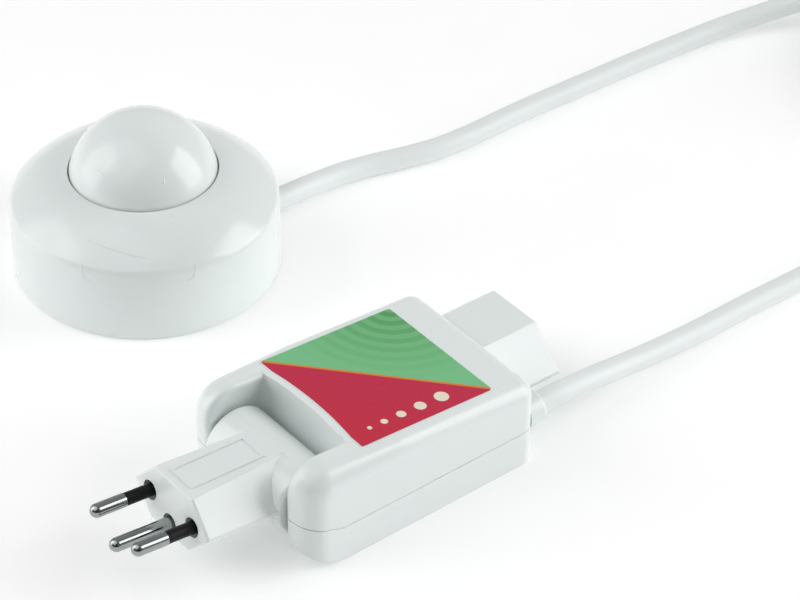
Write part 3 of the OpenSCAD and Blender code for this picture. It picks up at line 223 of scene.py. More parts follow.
def put_out(group, colour, roughness, height):
    """Leads a colour, a roughness and a height to the outputs of a node group."""
    result = group.nodes.new("NodeGroupOutput")
    for name, term in (("Colour", colour), ("Roughness", roughness), ("Height", height)):
        group.links.new(term, result.inputs[name])


moulded_skin, given = new_group("moulded_skin", Colour="Color", Tint="Color", Grain_per_metre="Float",
                                Least_roughness="Float", Most_roughness="Float")
cloud = ramp(moulded_skin, noise(moulded_skin, given["Place"], 45, 3), 0.3, 0.7)
patch = noise(moulded_skin, given["Place"], 130, 2)
put_out(moulded_skin, blend(moulded_skin, cloud, given["Colour"], given["Tint"]),
        ramp(moulded_skin, patch, 0.35, 0.65, given["Least roughness"], given["Most roughness"]),
        noise(moulded_skin, given["Place"], given["Grain per metre"], 3, 0.6))


def finish(name, group, bump, look, **settings):
    """Material whose colour, roughness and relief come from a node group fed with the place on the object.
    The bump is the relief's height in metres, look holds the group's values and settings the shader's own."""
    made = bpy.data.materials.new(name)
    made.use_nodes = True
    node, link = made.node_tree.nodes.new, made.node_tree.links.new
    shader = made.node_tree.nodes["Principled BSDF"]
    place, surface, relief = node("ShaderNodeTexCoord"), node("ShaderNodeGroup"), node("ShaderNodeBump")
    surface.node_tree = group
    relief.inputs["Distance"].default_value = bump
    for step, values in ((surface, look), (shader, settings)):
        for socket, value in values.items():
            step.inputs[socket.replace("_", " ")].default_value = value
    link(place.outputs["Object"], surface.inputs["Place"])
    link(surface.outputs["Colour"], shader.inputs["Base Color"])
    link(surface.outputs["Roughness"], shader.inputs["Roughness"])
    link(surface.outputs["Height"], relief.inputs["Height"])
    link(relief.outputs["Normal"], shader.inputs["Normal"])
    return made


def plastic(name, colour, tint, rough, grain, bump, **settings):
    """Finish of the moulded skin: colour and tint are linear, rough is the least and most roughness, grain
    counts per metre and bump is the grain's height in metres."""
    look = {"Colour": (*colour, 1), "Tint": (*tint, 1), "Grain_per_metre": grain,
            "Least_roughness": rough[0], "Most_roughness": rough[1]}
    return finish(name, moulded_skin, bump, look, **settings)


coil = coil_line(np.linspace(0, all_turns, int(24 * all_turns) + 1))
cord_line = smooth_line(np.vstack([to_coil, coil, to_foot[::-1]]), 2.4 * mm)
sheath = plastic("pvc_sheath", (0.82, 0.865, 0.855), (0.80, 0.85, 0.84), (0.34, 0.42), 1400, 0.000006)
lead = skin("mains_lead", sheath, tube_points(cord_line, cord_r, 20))
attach(lead, "dimmer")
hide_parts("cord_to_dimmer", "cord_coil", "cord_to_foot")


# Coil tie: a flat strip of paper with a wire down its middle, wrapped once round all the turns. Its two ends
# are twisted together at the side that faces the dimmer. The wire's ridge is pressed flat on the underside.
tie_at = np.mean(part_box("coil_tie"), axis=0)
half_x, half_z, bend_r, paper_t = 9.9, 5.6, 1.75, 0.5
strip_half, wire_rise, wire_half = 4, 0.4, 0.7
bends = (np.linspace(0, np.pi / 2, 9) + np.arange(4)[:, None] * np.pi / 2).ravel()
loop_out = np.column_stack([np.cos(bends), np.sin(bends)])
loop_in = np.repeat([(half_x, half_z), (-half_x, half_z), (-half_x, -half_z), (half_x, -half_z)], 9, axis=0)
strip = np.linspace(-strip_half, strip_half, 17)
ridge = np.clip(1 + 2 * loop_out[:, 1], 0, 1)[:, None] * wire_rise * np.exp(-(strip / wire_half) ** 2)
depth = np.concatenate([bend_r + paper_t + ridge, np.full(ridge.shape, bend_r)], axis=1)
loop = loop_in[:, None] + loop_out[:, None] * depth[:, :, None]
wide = np.broadcast_to(np.concatenate([strip, strip[::-1]]), loop.shape[:2])
band = np.stack([loop[..., 0], wide, loop[..., 1]], -1) * mm + tie_at
paper_tie = plastic("paper_tie", (0.74, 0.74, 0.72), (0.66, 0.66, 0.63), (0.65, 0.85), 5200, 0.00006)
tie = skin("coil_tie_band", paper_tie, band, ring=True)
ends_from, ends_reach = np.array([-11.6, 0, 3.5]), np.array([-10.5, 0, 6.5])
twists, twist_r, end_r = 3.5, 0.6, 0.5
twist_side, twist_up = np.array([0, 1, 0]), np.array([0.53, 0, 0.85])


def twisted_end(start):
    """Helix round the line of the tie's ends: the line's points plus an offset that turns, from its start."""
    share = np.linspace(0, 1, 49)[:, None]
    angle = 2 * np.pi * twists * share + start
    offset = twist_r * (np.cos(angle) * twist_side + np.sin(angle) * twist_up)
    return tube_points(tie_at + (ends_from + share * ends_reach + offset) * mm, end_r * mm, 8)


tie_ends = skin("coil_tie_ends", paper_tie, twisted_end(0), twisted_end(np.pi))
for piece in (tie, tie_ends):
    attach(piece, "dimmer")
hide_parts("coil_tie")


# Studio: a plain pale floor, a large softbox on each side of the camera and one overhead in front. The white
# room is dim behind the camera, so that the plastic is lightest at its sides and greyer towards the camera.
floor_half = 12
floor_mesh = bpy.data.meshes.new("floor")
floor_mesh.from_pydata([(-floor_half, -floor_half, 0), (floor_half, -floor_half, 0),
                        (floor_half, floor_half, 0), (-floor_half, floor_half, 0)], [], [(0, 1, 2, 3)])
floor_mesh.materials.append(plastic("floor_paper", (0.90, 0.90, 0.90), (0.89, 0.89, 0.89), (0.85, 0.95), 60,
                                    0.00001, Emission_Color=(1, 1, 1, 1), Emission_Strength=0.22))
add("floor", floor_mesh)
room = bpy.data.worlds.new("white_room")
room.use_nodes = True
room_walls = room.node_tree.nodes["Background"]
room_walls.inputs["Color"].default_value = (1, 1, 1, 1)
look_way = room.node_tree.nodes.new("ShaderNodeTexCoord")
away = room.node_tree.nodes.new("ShaderNodeVectorMath")
away.operation = "DOT_PRODUCT"
away.inputs[1].default_value = (-level[1], level[0], 0)
room.node_tree.links.new(look_way.outputs["Generated"], away.inputs[0])
room_light = ramp(room.node_tree, away.outputs["Value"], -1, 1, 0.02, 0.5)
room.node_tree.links.new(room_light, room_walls.inputs["Strength"])
bpy.context.scene.world = room
aim = np.array([0.05, 0.05, 0.02])


def softbox(name, direction, distance, wide, tall, power):
    """Oblong area lamp that stands off the middle of the object in the given direction and faces it."""
    lamp = bpy.data.lights.new(name, "AREA")
    lamp.shape, lamp.size, lamp.size_y, lamp.energy = "RECTANGLE", wide, tall, power
    back = np.array(direction) / np.linalg.norm(direction)
    aside = np.cross((0.0, 0.01, 1.0), back)
    aside /= np.linalg.norm(aside)
    add(name, lamp).matrix_world = placed(aside, np.cross(back, aside), back, aim + back * distance)


softbox("left_softbox", -level + np.array([0, 0, 0.45]), 1.3, 0.9, 1.3, 6.9)
softbox("right_softbox", level + np.array([0, 0, 0.4]), 1.3, 0.9, 1.3, 13)
softbox("top_softbox", (-0.62, 0.03, 1), 1.6, 1.7, 1.7, 9.6)
bpy.context.scene.view_settings.view_transform = "Standard"


# Lower shell: half of the housing, injection moulded in white plastic, with the rests for the board and the
# lower halves of the ears, the socket and the gland's hole. Its lip at the parting line is slightly eased.
white_abs = plastic("white_housing", (0.815, 0.865, 0.855), (0.805, 0.86, 0.845), (0.21, 0.24), 620, 0.000002,
                    Coat_Weight=0.2, Coat_Roughness=0.12)
crisp_turn = 32.0
split_z, climb_z, near_side_y = 13.5, 4, 27.3


def merged_copy(source, name):
    """Copy of a solid's mesh under a name of its own, with its doubles merged and its flats made whole."""
    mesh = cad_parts[source].data.copy()
    mesh.name = name
    bm = bmesh.new()
    bm.from_mesh(mesh)
    bmesh.ops.remove_doubles(bm, verts=bm.verts, dist=4e-6)
    bmesh.ops.dissolve_limit(bm, angle_limit=math.radians(0.3), verts=bm.verts, edges=bm.edges)
    bm.to_mesh(mesh)
    bm.free()
    return mesh


def numbers_of(items, field, width, kind=float):
    """One field of a mesh's items as an array with a row for each item."""
    values = np.empty(len(items) * width, kind)
    items.foreach_get(field, values)
    return values.reshape(-1, width)


def edge_facts(mesh):
    """For each edge its middle in millimetres and the normals of the first and the second face beside it."""
    ends = numbers_of(mesh.edges, "vertices", 2, int)
    middle_mm = numbers_of(mesh.vertices, "co", 3)[ends].mean(axis=1) / mm
    normals = numbers_of(mesh.polygons, "normal", 3)
    corners = numbers_of(mesh.polygons, "loop_total", 1, int).ravel()
    edges = numbers_of(mesh.loops, "edge_index", 1, int).ravel()
    owner = np.repeat(np.arange(len(corners)), corners)[np.argsort(edges, kind="stable")]
    first = np.searchsorted(np.sort(edges), np.arange(len(ends)))
    second = np.minimum(first + 1, len(owner) - 1)
    return middle_mm, normals[owner[first]], normals[owner[second]]


def eased(source, name, body, material, width=0.0, where=None, moved=None):
    """Smooth copy of a solid. The function moved, where it is given, maps its points in millimetres to their
    final places. Where a test of the edges' middles in millimetres and of the normals beside them is given,
    the edges it picks get a Bevel of that width by their weight. Every other edge that turns by more than the
    crisp turn stays sharp."""
    mesh = merged_copy(source, name)
    if moved:
        mesh.vertices.foreach_set("co", moved(numbers_of(mesh.vertices, "co", 3) / mm).ravel() * mm)
        mesh.update()
    middle_mm, one, other = edge_facts(mesh)
    turned = np.degrees(np.arccos(np.clip((one * other).sum(axis=1), -1, 1))) > crisp_turn
    picked = turned * where(middle_mm, one, other).astype(float) if where else np.zeros(len(turned))
    mesh.attributes.new("bevel_weight_edge", "FLOAT", "EDGE").data.foreach_set("value", picked)
    mesh.attributes.new("sharp_edge", "BOOLEAN", "EDGE").data.foreach_set("value", turned & (picked == 0))
    mesh.polygons.foreach_set("use_smooth", np.ones(len(mesh.polygons), bool))
    mesh.materials.clear()
    mesh.materials.append(material)
    piece = add(name, mesh)
    if where:
        corner = piece.modifiers.new("eased_corners", "BEVEL")
        corner.width, corner.segments, corner.limit_method = width, 3, "WEIGHT"
        corner.use_clamp_overlap = False
    flats = piece.modifiers.new("true_flats", "WEIGHTED_NORMAL")
    flats.keep_sharp, flats.weight = True, 60
    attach(piece, body)
    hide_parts(source)


def parting_edge(middle_mm, one, other, up):
    """Outer edge of a shell's half of the groove along the parting line: a lip that faces up, or down where
    up is -1, meets an upright wall at the housing's side."""
    lip = np.maximum(up * one[:, 2], up * other[:, 2])
    wall = np.minimum(np.abs(one[:, 2]), np.abs(other[:, 2]))
    beside = np.abs(middle_mm[:, 1]) > near_side_y
    return (lip > 0.6) & (wall < 0.35) & beside & (np.abs(middle_mm[:, 2] - split_z) < climb_z)


eased("lower_shell", "lower_housing", "dimmer", white_abs, 0.25 * mm, partial(parting_edge, up=1))


# Circuit board in the dimmer and the one in the foot control: glass-fibre sheet under green solder resist,
# with etched tracks that show as raised lines and tinned pads where the parts are soldered.
def calc(tree, operation, *terms):
    """Output of a Math node that works on sockets or numbers."""
    step = tree.nodes.new("ShaderNodeMath")
    step.operation = operation
    for socket, term in zip(step.inputs, terms):
        feed(tree, socket, term)
    return step.outputs[0]


def cells(tree, place, scale, measure):
    """Distance to the nearest of the scattered points of a Voronoi texture, by the given measure."""
    step = tree.nodes.new("ShaderNodeTexVoronoi")
    step.feature, step.distance = "F1", measure
    feed(tree, step.inputs["Vector"], place)
    feed(tree, step.inputs["Scale"], scale)
    return step.outputs["Distance"]


print_relief = 0.00005
printed_board, given = new_group("printed_board")
off_track = calc(printed_board, "SUBTRACT", cells(printed_board, given["Place"], 230, "CHEBYCHEV"), 0.36)
track = calc(printed_board, "LESS_THAN", calc(printed_board, "ABSOLUTE", off_track), 0.07)
tin = calc(printed_board, "LESS_THAN", cells(printed_board, given["Place"], 390, "EUCLIDEAN"), 0.17)
weave = noise(printed_board, given["Place"], 2400, 2)
resist = blend(printed_board, weave, (0.010, 0.120, 0.040), (0.020, 0.170, 0.060))
traced = blend(printed_board, track, resist, (0.045, 0.290, 0.090))
put_out(printed_board, blend(printed_board, tin, traced, (0.62, 0.61, 0.58)),
        calc(printed_board, "MULTIPLY_ADD", tin, 0.1, 0.28), calc(printed_board, "MAXIMUM", track, tin))


def dress(material, *names):
    """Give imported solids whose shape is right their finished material."""
    for name in names:
        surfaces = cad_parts[name].data.materials
        surfaces.clear()
        surfaces.append(material)


dress(finish("green_board", printed_board, print_relief, {}), "circuit_board", "foot_board")


# Parts on the dimmer's board: a bent aluminium heat sink with the triac on it, a choke, a boxed film
# capacitor, an electrolytic capacitor in a shrunk sleeve, the control chip and the cord's three-way terminal.
turned_metal, given = new_group("turned_metal", Stretch="Vector", Colour="Color", Least_roughness="Float",
                                Most_roughness="Float")
drawn = turned_metal.nodes.new("ShaderNodeVectorMath")
drawn.operation = "MULTIPLY"
turned_metal.links.new(given["Place"], drawn.inputs[0])
turned_metal.links.new(given["Stretch"], drawn.inputs[1])
streak = noise(turned_metal, drawn.outputs["Vector"], 1, 5)
stain = calc(turned_metal, "MULTIPLY", streak, noise(turned_metal, given["Place"], 320, 4))
put_out(turned_metal, blend(turned_metal, stain, given["Colour"], (0.80, 0.78, 0.76), "MULTIPLY"),
        ramp(turned_metal, streak, 0.3, 0.7, given["Least roughness"], given["Most roughness"]), streak)


def metal(name, colour, rough, stretch, bump=0.000004):
    """Bare metal with the fine lines that drawing or turning leaves, which run where the stretch is small."""
    look = {"Colour": (*colour, 1), "Stretch": stretch,
            "Least_roughness": rough[0], "Most_roughness": rough[1]}
    return finish(name, turned_metal, bump, look, Metallic=1.0)


black_resin = plastic("black_resin", (0.004, 0.005, 0.006), (0.007, 0.008, 0.009), (0.40, 0.55), 2600,
                      0.000006, Specular_IOR_Level=0.2)
dress(metal("sheet_aluminium", (0.78, 0.79, 0.80), (0.28, 0.42), (60, 60, 3600)), "heat_sink")
dress(black_resin, "triac", "control_chip")
dress(plastic("painted_ring_core", (0.42, 0.36, 0.05), (0.36, 0.30, 0.04), (0.35, 0.55), 6200, 0.00004),
      "choke_core")
dress(plastic("yellow_box", (0.78, 0.50, 0.03), (0.74, 0.46, 0.03), (0.25, 0.36), 2400, 0.00001),
      "film_capacitor")
dress(plastic("shrunk_sleeve", (0.010, 0.016, 0.075), (0.014, 0.022, 0.095), (0.18, 0.34), 900, 0.00003),
      "bulk_capacitor")
dress(plastic("terminal_resin", (0.030, 0.190, 0.080), (0.040, 0.220, 0.095), (0.35, 0.50), 3200, 0.00002),
      "terminal_block")


# Choke's winding: enamelled copper wire, laid in fourteen turns through and round the painted ring core. The
# turns lie close to the core's flat faces, and a gap is left between the wire's two ends.
turns, spread, wire_r = 14, 320, 0.5
ring_mid_r, ring_half, ring_rise, squareness = 6.3, 2.5, 4.3, 0.36
core_mid = np.mean(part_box("choke_core"), axis=0)
wound = np.linspace(0, turns, turns * 40 + 1)
round_core, through_core = np.radians(spread * wound / turns), 2 * np.pi * (wound + 0.125)


def squared(wave):
    """A wave with its flanks made steep: its size to a power below 1, with its sign kept."""
    return np.sign(wave) * np.abs(wave) ** squareness


out_mm = ring_mid_r + ring_half * squared(np.cos(through_core))
wire = np.column_stack([out_mm * np.cos(round_core), out_mm * np.sin(round_core),
                        ring_rise * squared(np.sin(through_core))]) * mm + core_mid
round_way = np.column_stack([-np.sin(round_core), np.cos(round_core), 0 * wound])
copper = metal("enamelled_copper", (0.60, 0.20, 0.07), (0.16, 0.30), (900, 900, 900))
winding = skin("choke_turns", copper, tube_points(wire, wire_r * mm, 10, round_way))
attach(winding, "dimmer")
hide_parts("choke_winding")


# Fuse: a glass tube with two pressed caps, plated with nickel. Two spring clips on the board hold it, bent
# from sheet brass.
brass = metal("sheet_brass", (0.72, 0.50, 0.17), (0.22, 0.38), (2600, 120, 120))
nickel = metal("nickel_plate", (0.36, 0.385, 0.385), (0.13, 0.20), (2600, 90, 90), 0.0000006)
dress(plastic("fuse_glass", (0.94, 0.97, 0.97), (0.90, 0.95, 0.95), (0.02, 0.06), 400, 0.000002,
              Transmission_Weight=0.95, IOR=1.5), "fuse_tube")
dress(nickel, "fuse_caps")
dress(brass, "fuse_clips")


# Rear socket: a white face plate at the bottom of the well and an insert behind it that holds three brass
# sleeves. The cord's gland, its sheathed end and the saddle that clamps it lie beside it.
dress(white_abs, "socket_face", "socket_insert", "cord_clamp", "foot_clamp")
dress(brass, "line_contact", "neutral_contact", "earth_contact")
dress(sheath, "cord_tail", "foot_cord_tail")
eased("cord_gland", "gland_collar", "dimmer", white_abs)


# Swivel plug: a white moulding with a barrel and hollow trunnions, over a black insert that holds two sleeved
# pins and the bare earth pin, all turned from nickel-plated brass. Fibre washers sit beside the barrel.
eased("plug_body", "plug_moulding", "plug", white_abs)
dress(black_resin, "pin_carrier", "pin_sleeves")
dress(nickel, "line_pin", "neutral_pin", "earth_pin")
dress(plastic("fibre_washer", (0.075, 0.072, 0.070), (0.100, 0.095, 0.090), (0.60, 0.85), 7000, 0.00005),
      "swivel_washers")


# Upper shell: the other half of the housing, of the same white plastic, with the sloping top, two ears and
# the dished wall between them. It closes the bearings over the plug's trunnions and is screwed on from below.
dish_x, dish_half_y, dish_z, parting_share = -17, 16.4, 29, 0.7


def upper_rim(middle_mm, one, other):
    """Weight 1 for the edge between the sloping top and the dished wall behind the plug, and less for the
    groove along the parting line."""
    x, y, z = middle_mm.T
    top = np.maximum(one[:, 2], other[:, 2]) > 0.9
    dish = (x < dish_x) & (np.abs(y) < dish_half_y) & (z > dish_z) & top
    return dish + parting_share * parting_edge(middle_mm, one, other, -1)


eased("upper_shell", "upper_housing", "dimmer", white_abs, 0.35 * mm, upper_rim)
corner_x, ear_y, ear_round, foot_z, round_z, rim_z = -20.2, 17.6, 1.6, 11.8, 29.95, 31.15
dish_lean = math.radians(8.2)
fillet_reach, fade_z, fade_power, root_depth = 3.4, 9, 0.7, 0.2


def soft_corner(name, side):
    """Moulded fillet where the dished wall meets an ear: quadratic curves tangent to both walls. Their reach
    fades over the top few millimetres, where they follow the ear's rounded edge to the rim. The side is 1 or
    -1."""
    climb = np.append(np.zeros(24), np.radians(np.linspace(4, 47, 12)))[:, None]
    height = np.append(np.linspace(foot_z, round_z, 24), np.full(12, round_z))[:, None]
    out, up = np.cos(climb), np.sin(climb)
    corner = np.hstack([0 * out + corner_x, ear_y + ear_round * (1 - out), height + ear_round * up])[:, None]
    reach = fillet_reach * np.clip((rim_z - corner[..., 2:]) / fade_z, 0, 1) ** fade_power
    along_ear = np.array([-1, 0, 0])
    along_dish = np.hstack([0 * out + math.sin(dish_lean), -math.cos(dish_lean) * out,
                            math.cos(dish_lean) * up])[:, None]
    share = np.linspace(0, 1, 13)[None, :, None]
    curve = corner + reach * ((1 - share) ** 2 * along_ear + share ** 2 * along_dish)
    root = corner - root_depth * (along_ear + along_dish)
    piece = skin(name, white_abs, np.concatenate([curve, root], axis=1) * (1, side, 1) * mm)
    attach(piece, "dimmer")


soft_corner("far_ear_corner", 1)
soft_corner("near_ear_corner", -1)


# Screws: plated steel with a pan head, a cross recess and a cut thread. Three close the housing and three the
# foot control, from below; four hold the foot's board, and one each of the two saddles.
head_sides, head_bulge, head_edge = 32, 0.18, 0.32
arm_half, arm_reach, recess_depth = 0.16, 0.62, 0.5
thread_pitch, thread_depth, point_l, point_share = 1.0, 0.22, 1.4, 0.12


def screw_points(at, down, head_r, head_t, shank_r, length):
    """Rings of points from the middle of a screw's head to its tip. The head bulges, a cross-shaped recess
    sinks into it, and the thread is a triangle wave that climbs one pitch in each turn."""
    angle = np.linspace(0, 2 * np.pi, head_sides, endpoint=False)[None, :]
    face = np.linspace(0.04, 0.92, 13)[:, None] * head_r
    east, north = face * np.cos(angle), face * np.sin(angle)
    arm = np.minimum(np.abs(east), np.abs(north)) / (arm_half * head_r)
    tip = np.maximum(np.abs(east), np.abs(north)) / (arm_reach * head_r)
    cut = recess_depth * head_t * np.clip((1 - arm) * 4, 0, 1) * np.clip((1 - tip) * 5, 0, 1)
    top = np.stack([east, north, head_bulge * head_t * (face / head_r) ** 2 + cut], -1)
    rim_r = np.array([[head_r], [head_r], [shank_r]])
    rim_t = np.array([[head_edge], [1], [1]]) * head_t
    rim_t = np.broadcast_to(rim_t, (len(rim_t), head_sides))
    side = np.stack([rim_r * np.cos(angle), rim_r * np.sin(angle), rim_t], -1)
    depth = np.arange(head_t + 0.1, length, 0.16)[:, None]
    wave = np.abs(2 * ((depth / thread_pitch - angle / (2 * np.pi)) % 1.0) - 1)
    taper = np.clip((length - depth) / point_l, point_share, 1)
    core = shank_r * taper * (1 - thread_depth + thread_depth * wave)
    shank = np.stack([core * np.cos(angle), core * np.sin(angle), np.broadcast_to(depth, core.shape)], -1)
    return (np.concatenate([top, side, shank]) * (1, 1, -1 if down else 1) + at) * mm


def screws(name, source, places, *shape):
    """One piece with a screw at each place, in place of a node of plain screws."""
    piece = skin(name, nickel, *[screw_points(np.array(place), *shape) for place in places], sharp=30)
    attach(piece, "dimmer")
    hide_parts(source)


foot_at = np.mean(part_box("foot_button"), axis=0) * (1, 1, 0) / mm


def round_foot(radius, height, turns):
    """Places on a circle round the foot control's axis, in millimetres, at turns in degrees."""
    turns = np.radians(turns)
    return foot_at + np.column_stack([radius * np.cos(turns), radius * np.sin(turns), 0 * turns + height])


screws("housing_screw_set", "housing_screws", [(-12.6, 21.3, 1.2), (-12.6, -21.3, 1.2), (24.6, 21.3, 1.2)],
       False, 2.7, 1.8, 1.3, 18.0)
screws("foot_screw_set", "foot_screws", round_foot(33.65, 0.6, (60, 180, 300)), False, 2.7, 0.9, 1.3, 8.0)
screws("board_screw_set", "board_screws", round_foot(23.84, 8.8, (45, 135, 225, 315)),
       True, 2.0, 1.2, 1.3, 5.5)
screws("cord_clamp_screw", "clamp_screw", [(26.0, -12.7, 15.4)], True, 2.0, 1.8, 1.3, 7.0)
screws("foot_cord_screw", "foot_clamp_screw", [(37.34, 115.4, 9.9)], True, 2.0, 1.8, 1.3, 7.0)


# Label: a printed film on the sloping top. Crimson lies in front and green behind, parted by a thin orange
# diagonal; the green carries rings that spread from a corner, and the crimson a row of growing dots.
label_print, given = new_group("label_print")
on_label, ink = partial(calc, label_print), partial(blend, label_print)
spot = label_print.nodes.new("ShaderNodeSeparateXYZ")
label_print.links.new(given["Place"], spot.inputs["Vector"])
x_mm, y_mm = (on_label("MULTIPLY", spot.outputs[way], 1 / mm) for way in "XY")
diagonal_at, line_half, print_blur = 4.7, 0.42, 0.06
dot_row_y, dot_blur = -17.4, 0.08
ring_radians_per_mm, ring_blur = 1.5, 0.12
glow_at, glow_blur, deep_at, deep_blur = 18, 16, -14, 14


def from_point(x, y):
    """Distance on the label from a point: the root of the two squared offsets, in millimetres."""
    squares = [on_label("POWER", on_label("SUBTRACT", at, by), 2) for at, by in ((x_mm, x), (y_mm, y))]
    return on_label("SQRT", on_label("ADD", *squares))


def soft_step(value, edge, blur):
    """Rises from 0 to 1 where the value passes the edge, over twice the blur."""
    return ramp(label_print, value, edge - blur, edge + blur)


past_diagonal = on_label("ADD", x_mm, on_label("SUBTRACT", y_mm, diagonal_at))
beyond = on_label("MULTIPLY", past_diagonal, math.sqrt(0.5))
from_corner = from_point(27.2, 22.5)
ring_wave = on_label("SINE", on_label("MULTIPLY", from_corner, ring_radians_per_mm))
rings = soft_step(ring_wave, 0.0, ring_blur)
leaf = ink(rings, (0.075, 0.36, 0.115), (0.145, 0.47, 0.185))
green = ink(soft_step(from_corner, glow_at, glow_blur), leaf, (0.18, 0.56, 0.26))
crimson = ink(soft_step(beyond, deep_at, deep_blur), (0.58, 0.012, 0.045), (0.55, 0.012, 0.062))
for dot_x, dot_r in ((-11.4, 0.7), (-6.4, 1.05), (-0.6, 1.4), (6.0, 1.75), (13.4, 2.1)):
    crimson = ink(soft_step(from_point(dot_x, dot_row_y), dot_r, dot_blur), (0.86, 0.80, 0.66), crimson)
colours = ink(soft_step(beyond, 0, print_blur), crimson, green)
colours = ink(soft_step(on_label("ABSOLUTE", beyond), line_half, print_blur), (0.72, 0.22, 0.03), colours)
screen, wear = noise(label_print, given["Place"], 2400, 2), noise(label_print, given["Place"], 120, 4)
put_out(label_print, ink(on_label("MULTIPLY", screen, 0.12), colours, (0.50, 0.30, 0.28)),
        on_label("MULTIPLY_ADD", wear, 0.16, 0.36), on_label("MULTIPLY", screen, 0.006))
dress(finish("label_film", label_print, print_relief, {}, Specular_IOR_Level=0.2), "label")


# Foot control's base: a white plate on four rubber pads, with pillars for the board. On the board stand the
# push switch with its red plunger and the ring potentiometer: housing, carbon track, rotor and brass wiper.
eased("foot_base", "base_plate", "dimmer", white_abs)
dress(plastic("rubber_pad", (0.018, 0.018, 0.019), (0.026, 0.026, 0.027), (0.70, 0.90), 5600, 0.00006),
      "foot_pads")
dress(black_resin, "push_switch")
dress(plastic("red_plunger", (0.52, 0.035, 0.020), (0.46, 0.030, 0.018), (0.28, 0.40), 3000, 0.00001),
      "switch_plunger")
dress(plastic("grey_resin", (0.045, 0.050, 0.060), (0.060, 0.066, 0.078), (0.40, 0.55), 4200, 0.00002),
      "pot_housing")
dress(plastic("carbon_track", (0.010, 0.010, 0.011), (0.018, 0.018, 0.019), (0.50, 0.75), 8200, 0.00001),
      "pot_track")
dress(plastic("pale_rotor", (0.62, 0.64, 0.62), (0.58, 0.60, 0.58), (0.30, 0.42), 2600, 0.00001), "pot_rotor")
dress(brass, "pot_wiper")


# Button's spring: five turns of round steel wire, coiled cold. It stands on the rotor's ledge, pushes the
# dome up and rides on the dial.
spring_turns, spring_r, spring_rise, steel_r = 5, 11, 11.4, 0.6
spring_mid = np.mean(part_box("button_spring"), axis=0)
coiled = np.linspace(0, spring_turns, spring_turns * 40 + 1)
helix = np.column_stack([spring_r * np.cos(2 * np.pi * coiled), spring_r * np.sin(2 * np.pi * coiled),
                         spring_rise * (coiled / spring_turns - 0.5)]) * mm + spring_mid
steel = metal("spring_steel", (0.56, 0.56, 0.57), (0.20, 0.34), (900, 900, 900))
spring = skin("dome_spring", steel, tube_points(helix, steel_r * mm, 12))
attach(spring, "dial")
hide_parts("button_spring")
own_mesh(spring)


# Cover and dome: glossy white mouldings. The dome sits in the cover's round opening, turns to dim and is
# pressed with a foot to switch. Fine raised lines on both show the way round.
foot_r, foot_h, lip_r, lip_near, base_z = 40.25, 33.5, 22.4, 0.2, 0.5
wall_r, shoulder_r, shoulder_z, shoulder_turn = 1000.0, 4.0, 22.0, 45
plain_shoulder_r, plain_shoulder_z = 9.0, 20.0
dome_r, dome_z = 22.6, 28.33


def lips(middle_mm, one, other):
    """Edges of the cover round the dome and at the floor."""
    out = np.hypot(middle_mm[:, 0] - foot_at[0], middle_mm[:, 1] - foot_at[1])
    round_dome = (middle_mm[:, 2] > foot_h - lip_near) & (out < lip_r + lip_near)
    return round_dome | ((middle_mm[:, 2] < base_z + lip_near) & (out > foot_r - lip_near))


def crown_arc(radius, height):
    """Middle, radius and last angle of the crown above a shoulder of a radius and height. The crown leaves
    the shoulder at 45 degrees with the same heading and ends at the lip. With r the shoulder's radius, T the
    way from its middle to the lip and d the direction at 45 degrees, the crown's radius is
    (2r T.d - r r - T.T) / (2 (T.d - r))."""
    shoulder_at = np.array([foot_r - radius, height])
    to_lip = np.array([lip_r, foot_h]) - shoulder_at
    heading = np.array([math.cos(math.radians(shoulder_turn)), math.sin(math.radians(shoulder_turn))])
    along = to_lip @ heading
    crown_r = (2 * radius * along - radius * radius - to_lip @ to_lip) / (2 * (along - radius))
    out, up = shoulder_at - (crown_r - radius) * heading
    return out, up, crown_r, math.degrees(math.atan2(foot_h - up, lip_r - out))


crown_out, crown_up, crown_r, crown_end = crown_arc(shoulder_r, shoulder_z)
plain_out, plain_up, plain_crown_r, plain_end = crown_arc(plain_shoulder_r, plain_shoulder_z)


def cover_profile(rise):
    """Middle and radius of the arc at each angle in degrees: the wall as an arc of a metre below 0, a tight
    shoulder up to 45, and the wide crown from there to the dome's opening."""
    part = [rise < 0, rise <= shoulder_turn]
    middle_out = np.select(part, [foot_r - wall_r, foot_r - shoulder_r], crown_out)
    middle_up = np.select(part, [shoulder_z, shoulder_z], crown_up)
    return middle_out, middle_up, np.select(part, [wall_r, shoulder_r], crown_r)


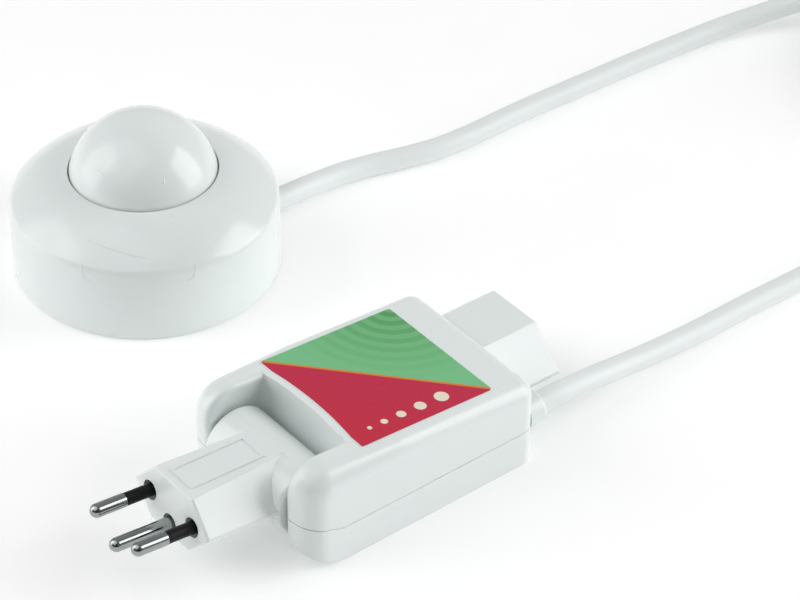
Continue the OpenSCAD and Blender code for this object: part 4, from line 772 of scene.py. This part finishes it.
def tight_shoulder(spots):
    """Moves the rings of the cover's outer skin by less than half a millimetre, from the solid's plain
    shoulder and crown to the same or the matching angle on the cover's finished profile."""
    near_mm, near_turn = 0.03, 0.1
    east, north = spots[:, 0] - foot_at[0], spots[:, 1] - foot_at[1]
    out, turn, up = np.hypot(east, north), np.arctan2(north, east), spots[:, 2]

    def on_arc(middle_out, middle_up, radius, start, end):
        """Angles about an arc's middle, and whether the points lie on the arc between two angles."""
        angle = np.degrees(np.arctan2(up - middle_up, out - middle_out))
        off = np.abs(np.hypot(up - middle_up, out - middle_out) - radius)
        return angle, (off < near_mm) & (angle > start) & (angle < end + near_turn)

    shoulder, on_shoulder = on_arc(foot_r - plain_shoulder_r, plain_shoulder_z, plain_shoulder_r, -near_turn,
                                   shoulder_turn)
    crown, on_crown = on_arc(plain_out, plain_up, plain_crown_r, shoulder_turn + near_turn, plain_end)
    share = (crown - shoulder_turn) / (plain_end - shoulder_turn)
    rise = np.where(on_shoulder, np.clip(shoulder, 0, shoulder_turn),
                    shoulder_turn + share * (crown_end - shoulder_turn))
    middle_out, middle_up, radius = cover_profile(rise)
    kept = ~(on_shoulder | on_crown)
    new_out = np.where(kept, out, middle_out + radius * np.cos(np.radians(rise)))
    new_up = np.where(kept, up, middle_up + radius * np.sin(np.radians(rise)))
    return np.column_stack([foot_at[0] + new_out * np.cos(turn), foot_at[1] + new_out * np.sin(turn), new_up])


eased("foot_cover", "control_cover", "dimmer", white_abs, 0.3 * mm, lips, moved=tight_shoulder)
eased("foot_button", "control_dome", "button", white_abs)


def raised_line(name, body, profile, half, stops):
    """Half-sunk thread of plastic on a round surface. Stops are turns about the axis and angles along the
    profile, in degrees; the profile gives the middle and the radius of the arc at each angle."""
    proud, end_share, end_taper = 0.13, 0.06, 0.25
    stops = np.array(stops, float)
    fine = np.linspace(0, 1, 60)
    turn, rise = (np.radians(np.interp(fine, np.linspace(0, 1, len(stops)), angles)) for angles in stops.T)
    middle_r, middle_z, radius = profile(np.degrees(rise))
    radius = radius - half + proud
    out, up = middle_r + radius * np.cos(rise), middle_z + radius * np.sin(rise)
    line = np.column_stack([out * np.cos(turn), out * np.sin(turn), up]) + foot_at
    taper = half * np.clip(np.minimum(fine, 1 - fine) / end_share, end_taper, 1)
    piece = skin(name, white_abs, tube_points(line * mm, taper * mm, 10, side=(0.31, 0.22, 0.92)))
    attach(piece, body)


def dome_profile(rise):
    """The dome's sphere at every angle."""
    return 0 * rise, 0 * rise + dome_z, 0 * rise + dome_r


raised_line("dimming_line", "dimmer", cover_profile, 0.45,
            [(-155.5, 58.7), (-146.8, 57.2), (-137.8, 55.4), (-130, 53.5), (-122.3, 51.7)])
raised_line("panel_edge_left", "dimmer", cover_profile, 0.42,
            [(-152.8, 46.7), (-151.9, 19.7), (-151.5, 0), (-151.2, -0.057), (-149.7, -0.093),
             (-147.3, -0.106)])
raised_line("panel_edge_right", "dimmer", cover_profile, 0.42,
            [(-102.4, 47.5), (-103.4, 19.5), (-103.9, 0), (-104.4, -0.057), (-105.9, -0.093),
             (-108.3, -0.106)])
raised_line("setting_mark", "dimmer", cover_profile, 0.42, [(-106.2, 77), (-105.5, 75.3), (-104.8, 73.7)])
raised_line("dome_pointer", "button", dome_profile, 0.45, [(-104.6, 37), (-105.2, 33.8), (-105.9, 31)])
raised_line("dome_mark", "button", dome_profile, 0.42, [(-174.2, 37.3), (-168.4, 36.4), (-162.5, 34.8)])


# Bush at the back of the foot control: a short collar of the same white plastic that leads the cord out
# through the cover's wall. A flange behind the wall keeps it in.
eased("foot_bush", "cord_bush", "dimmer", white_abs)
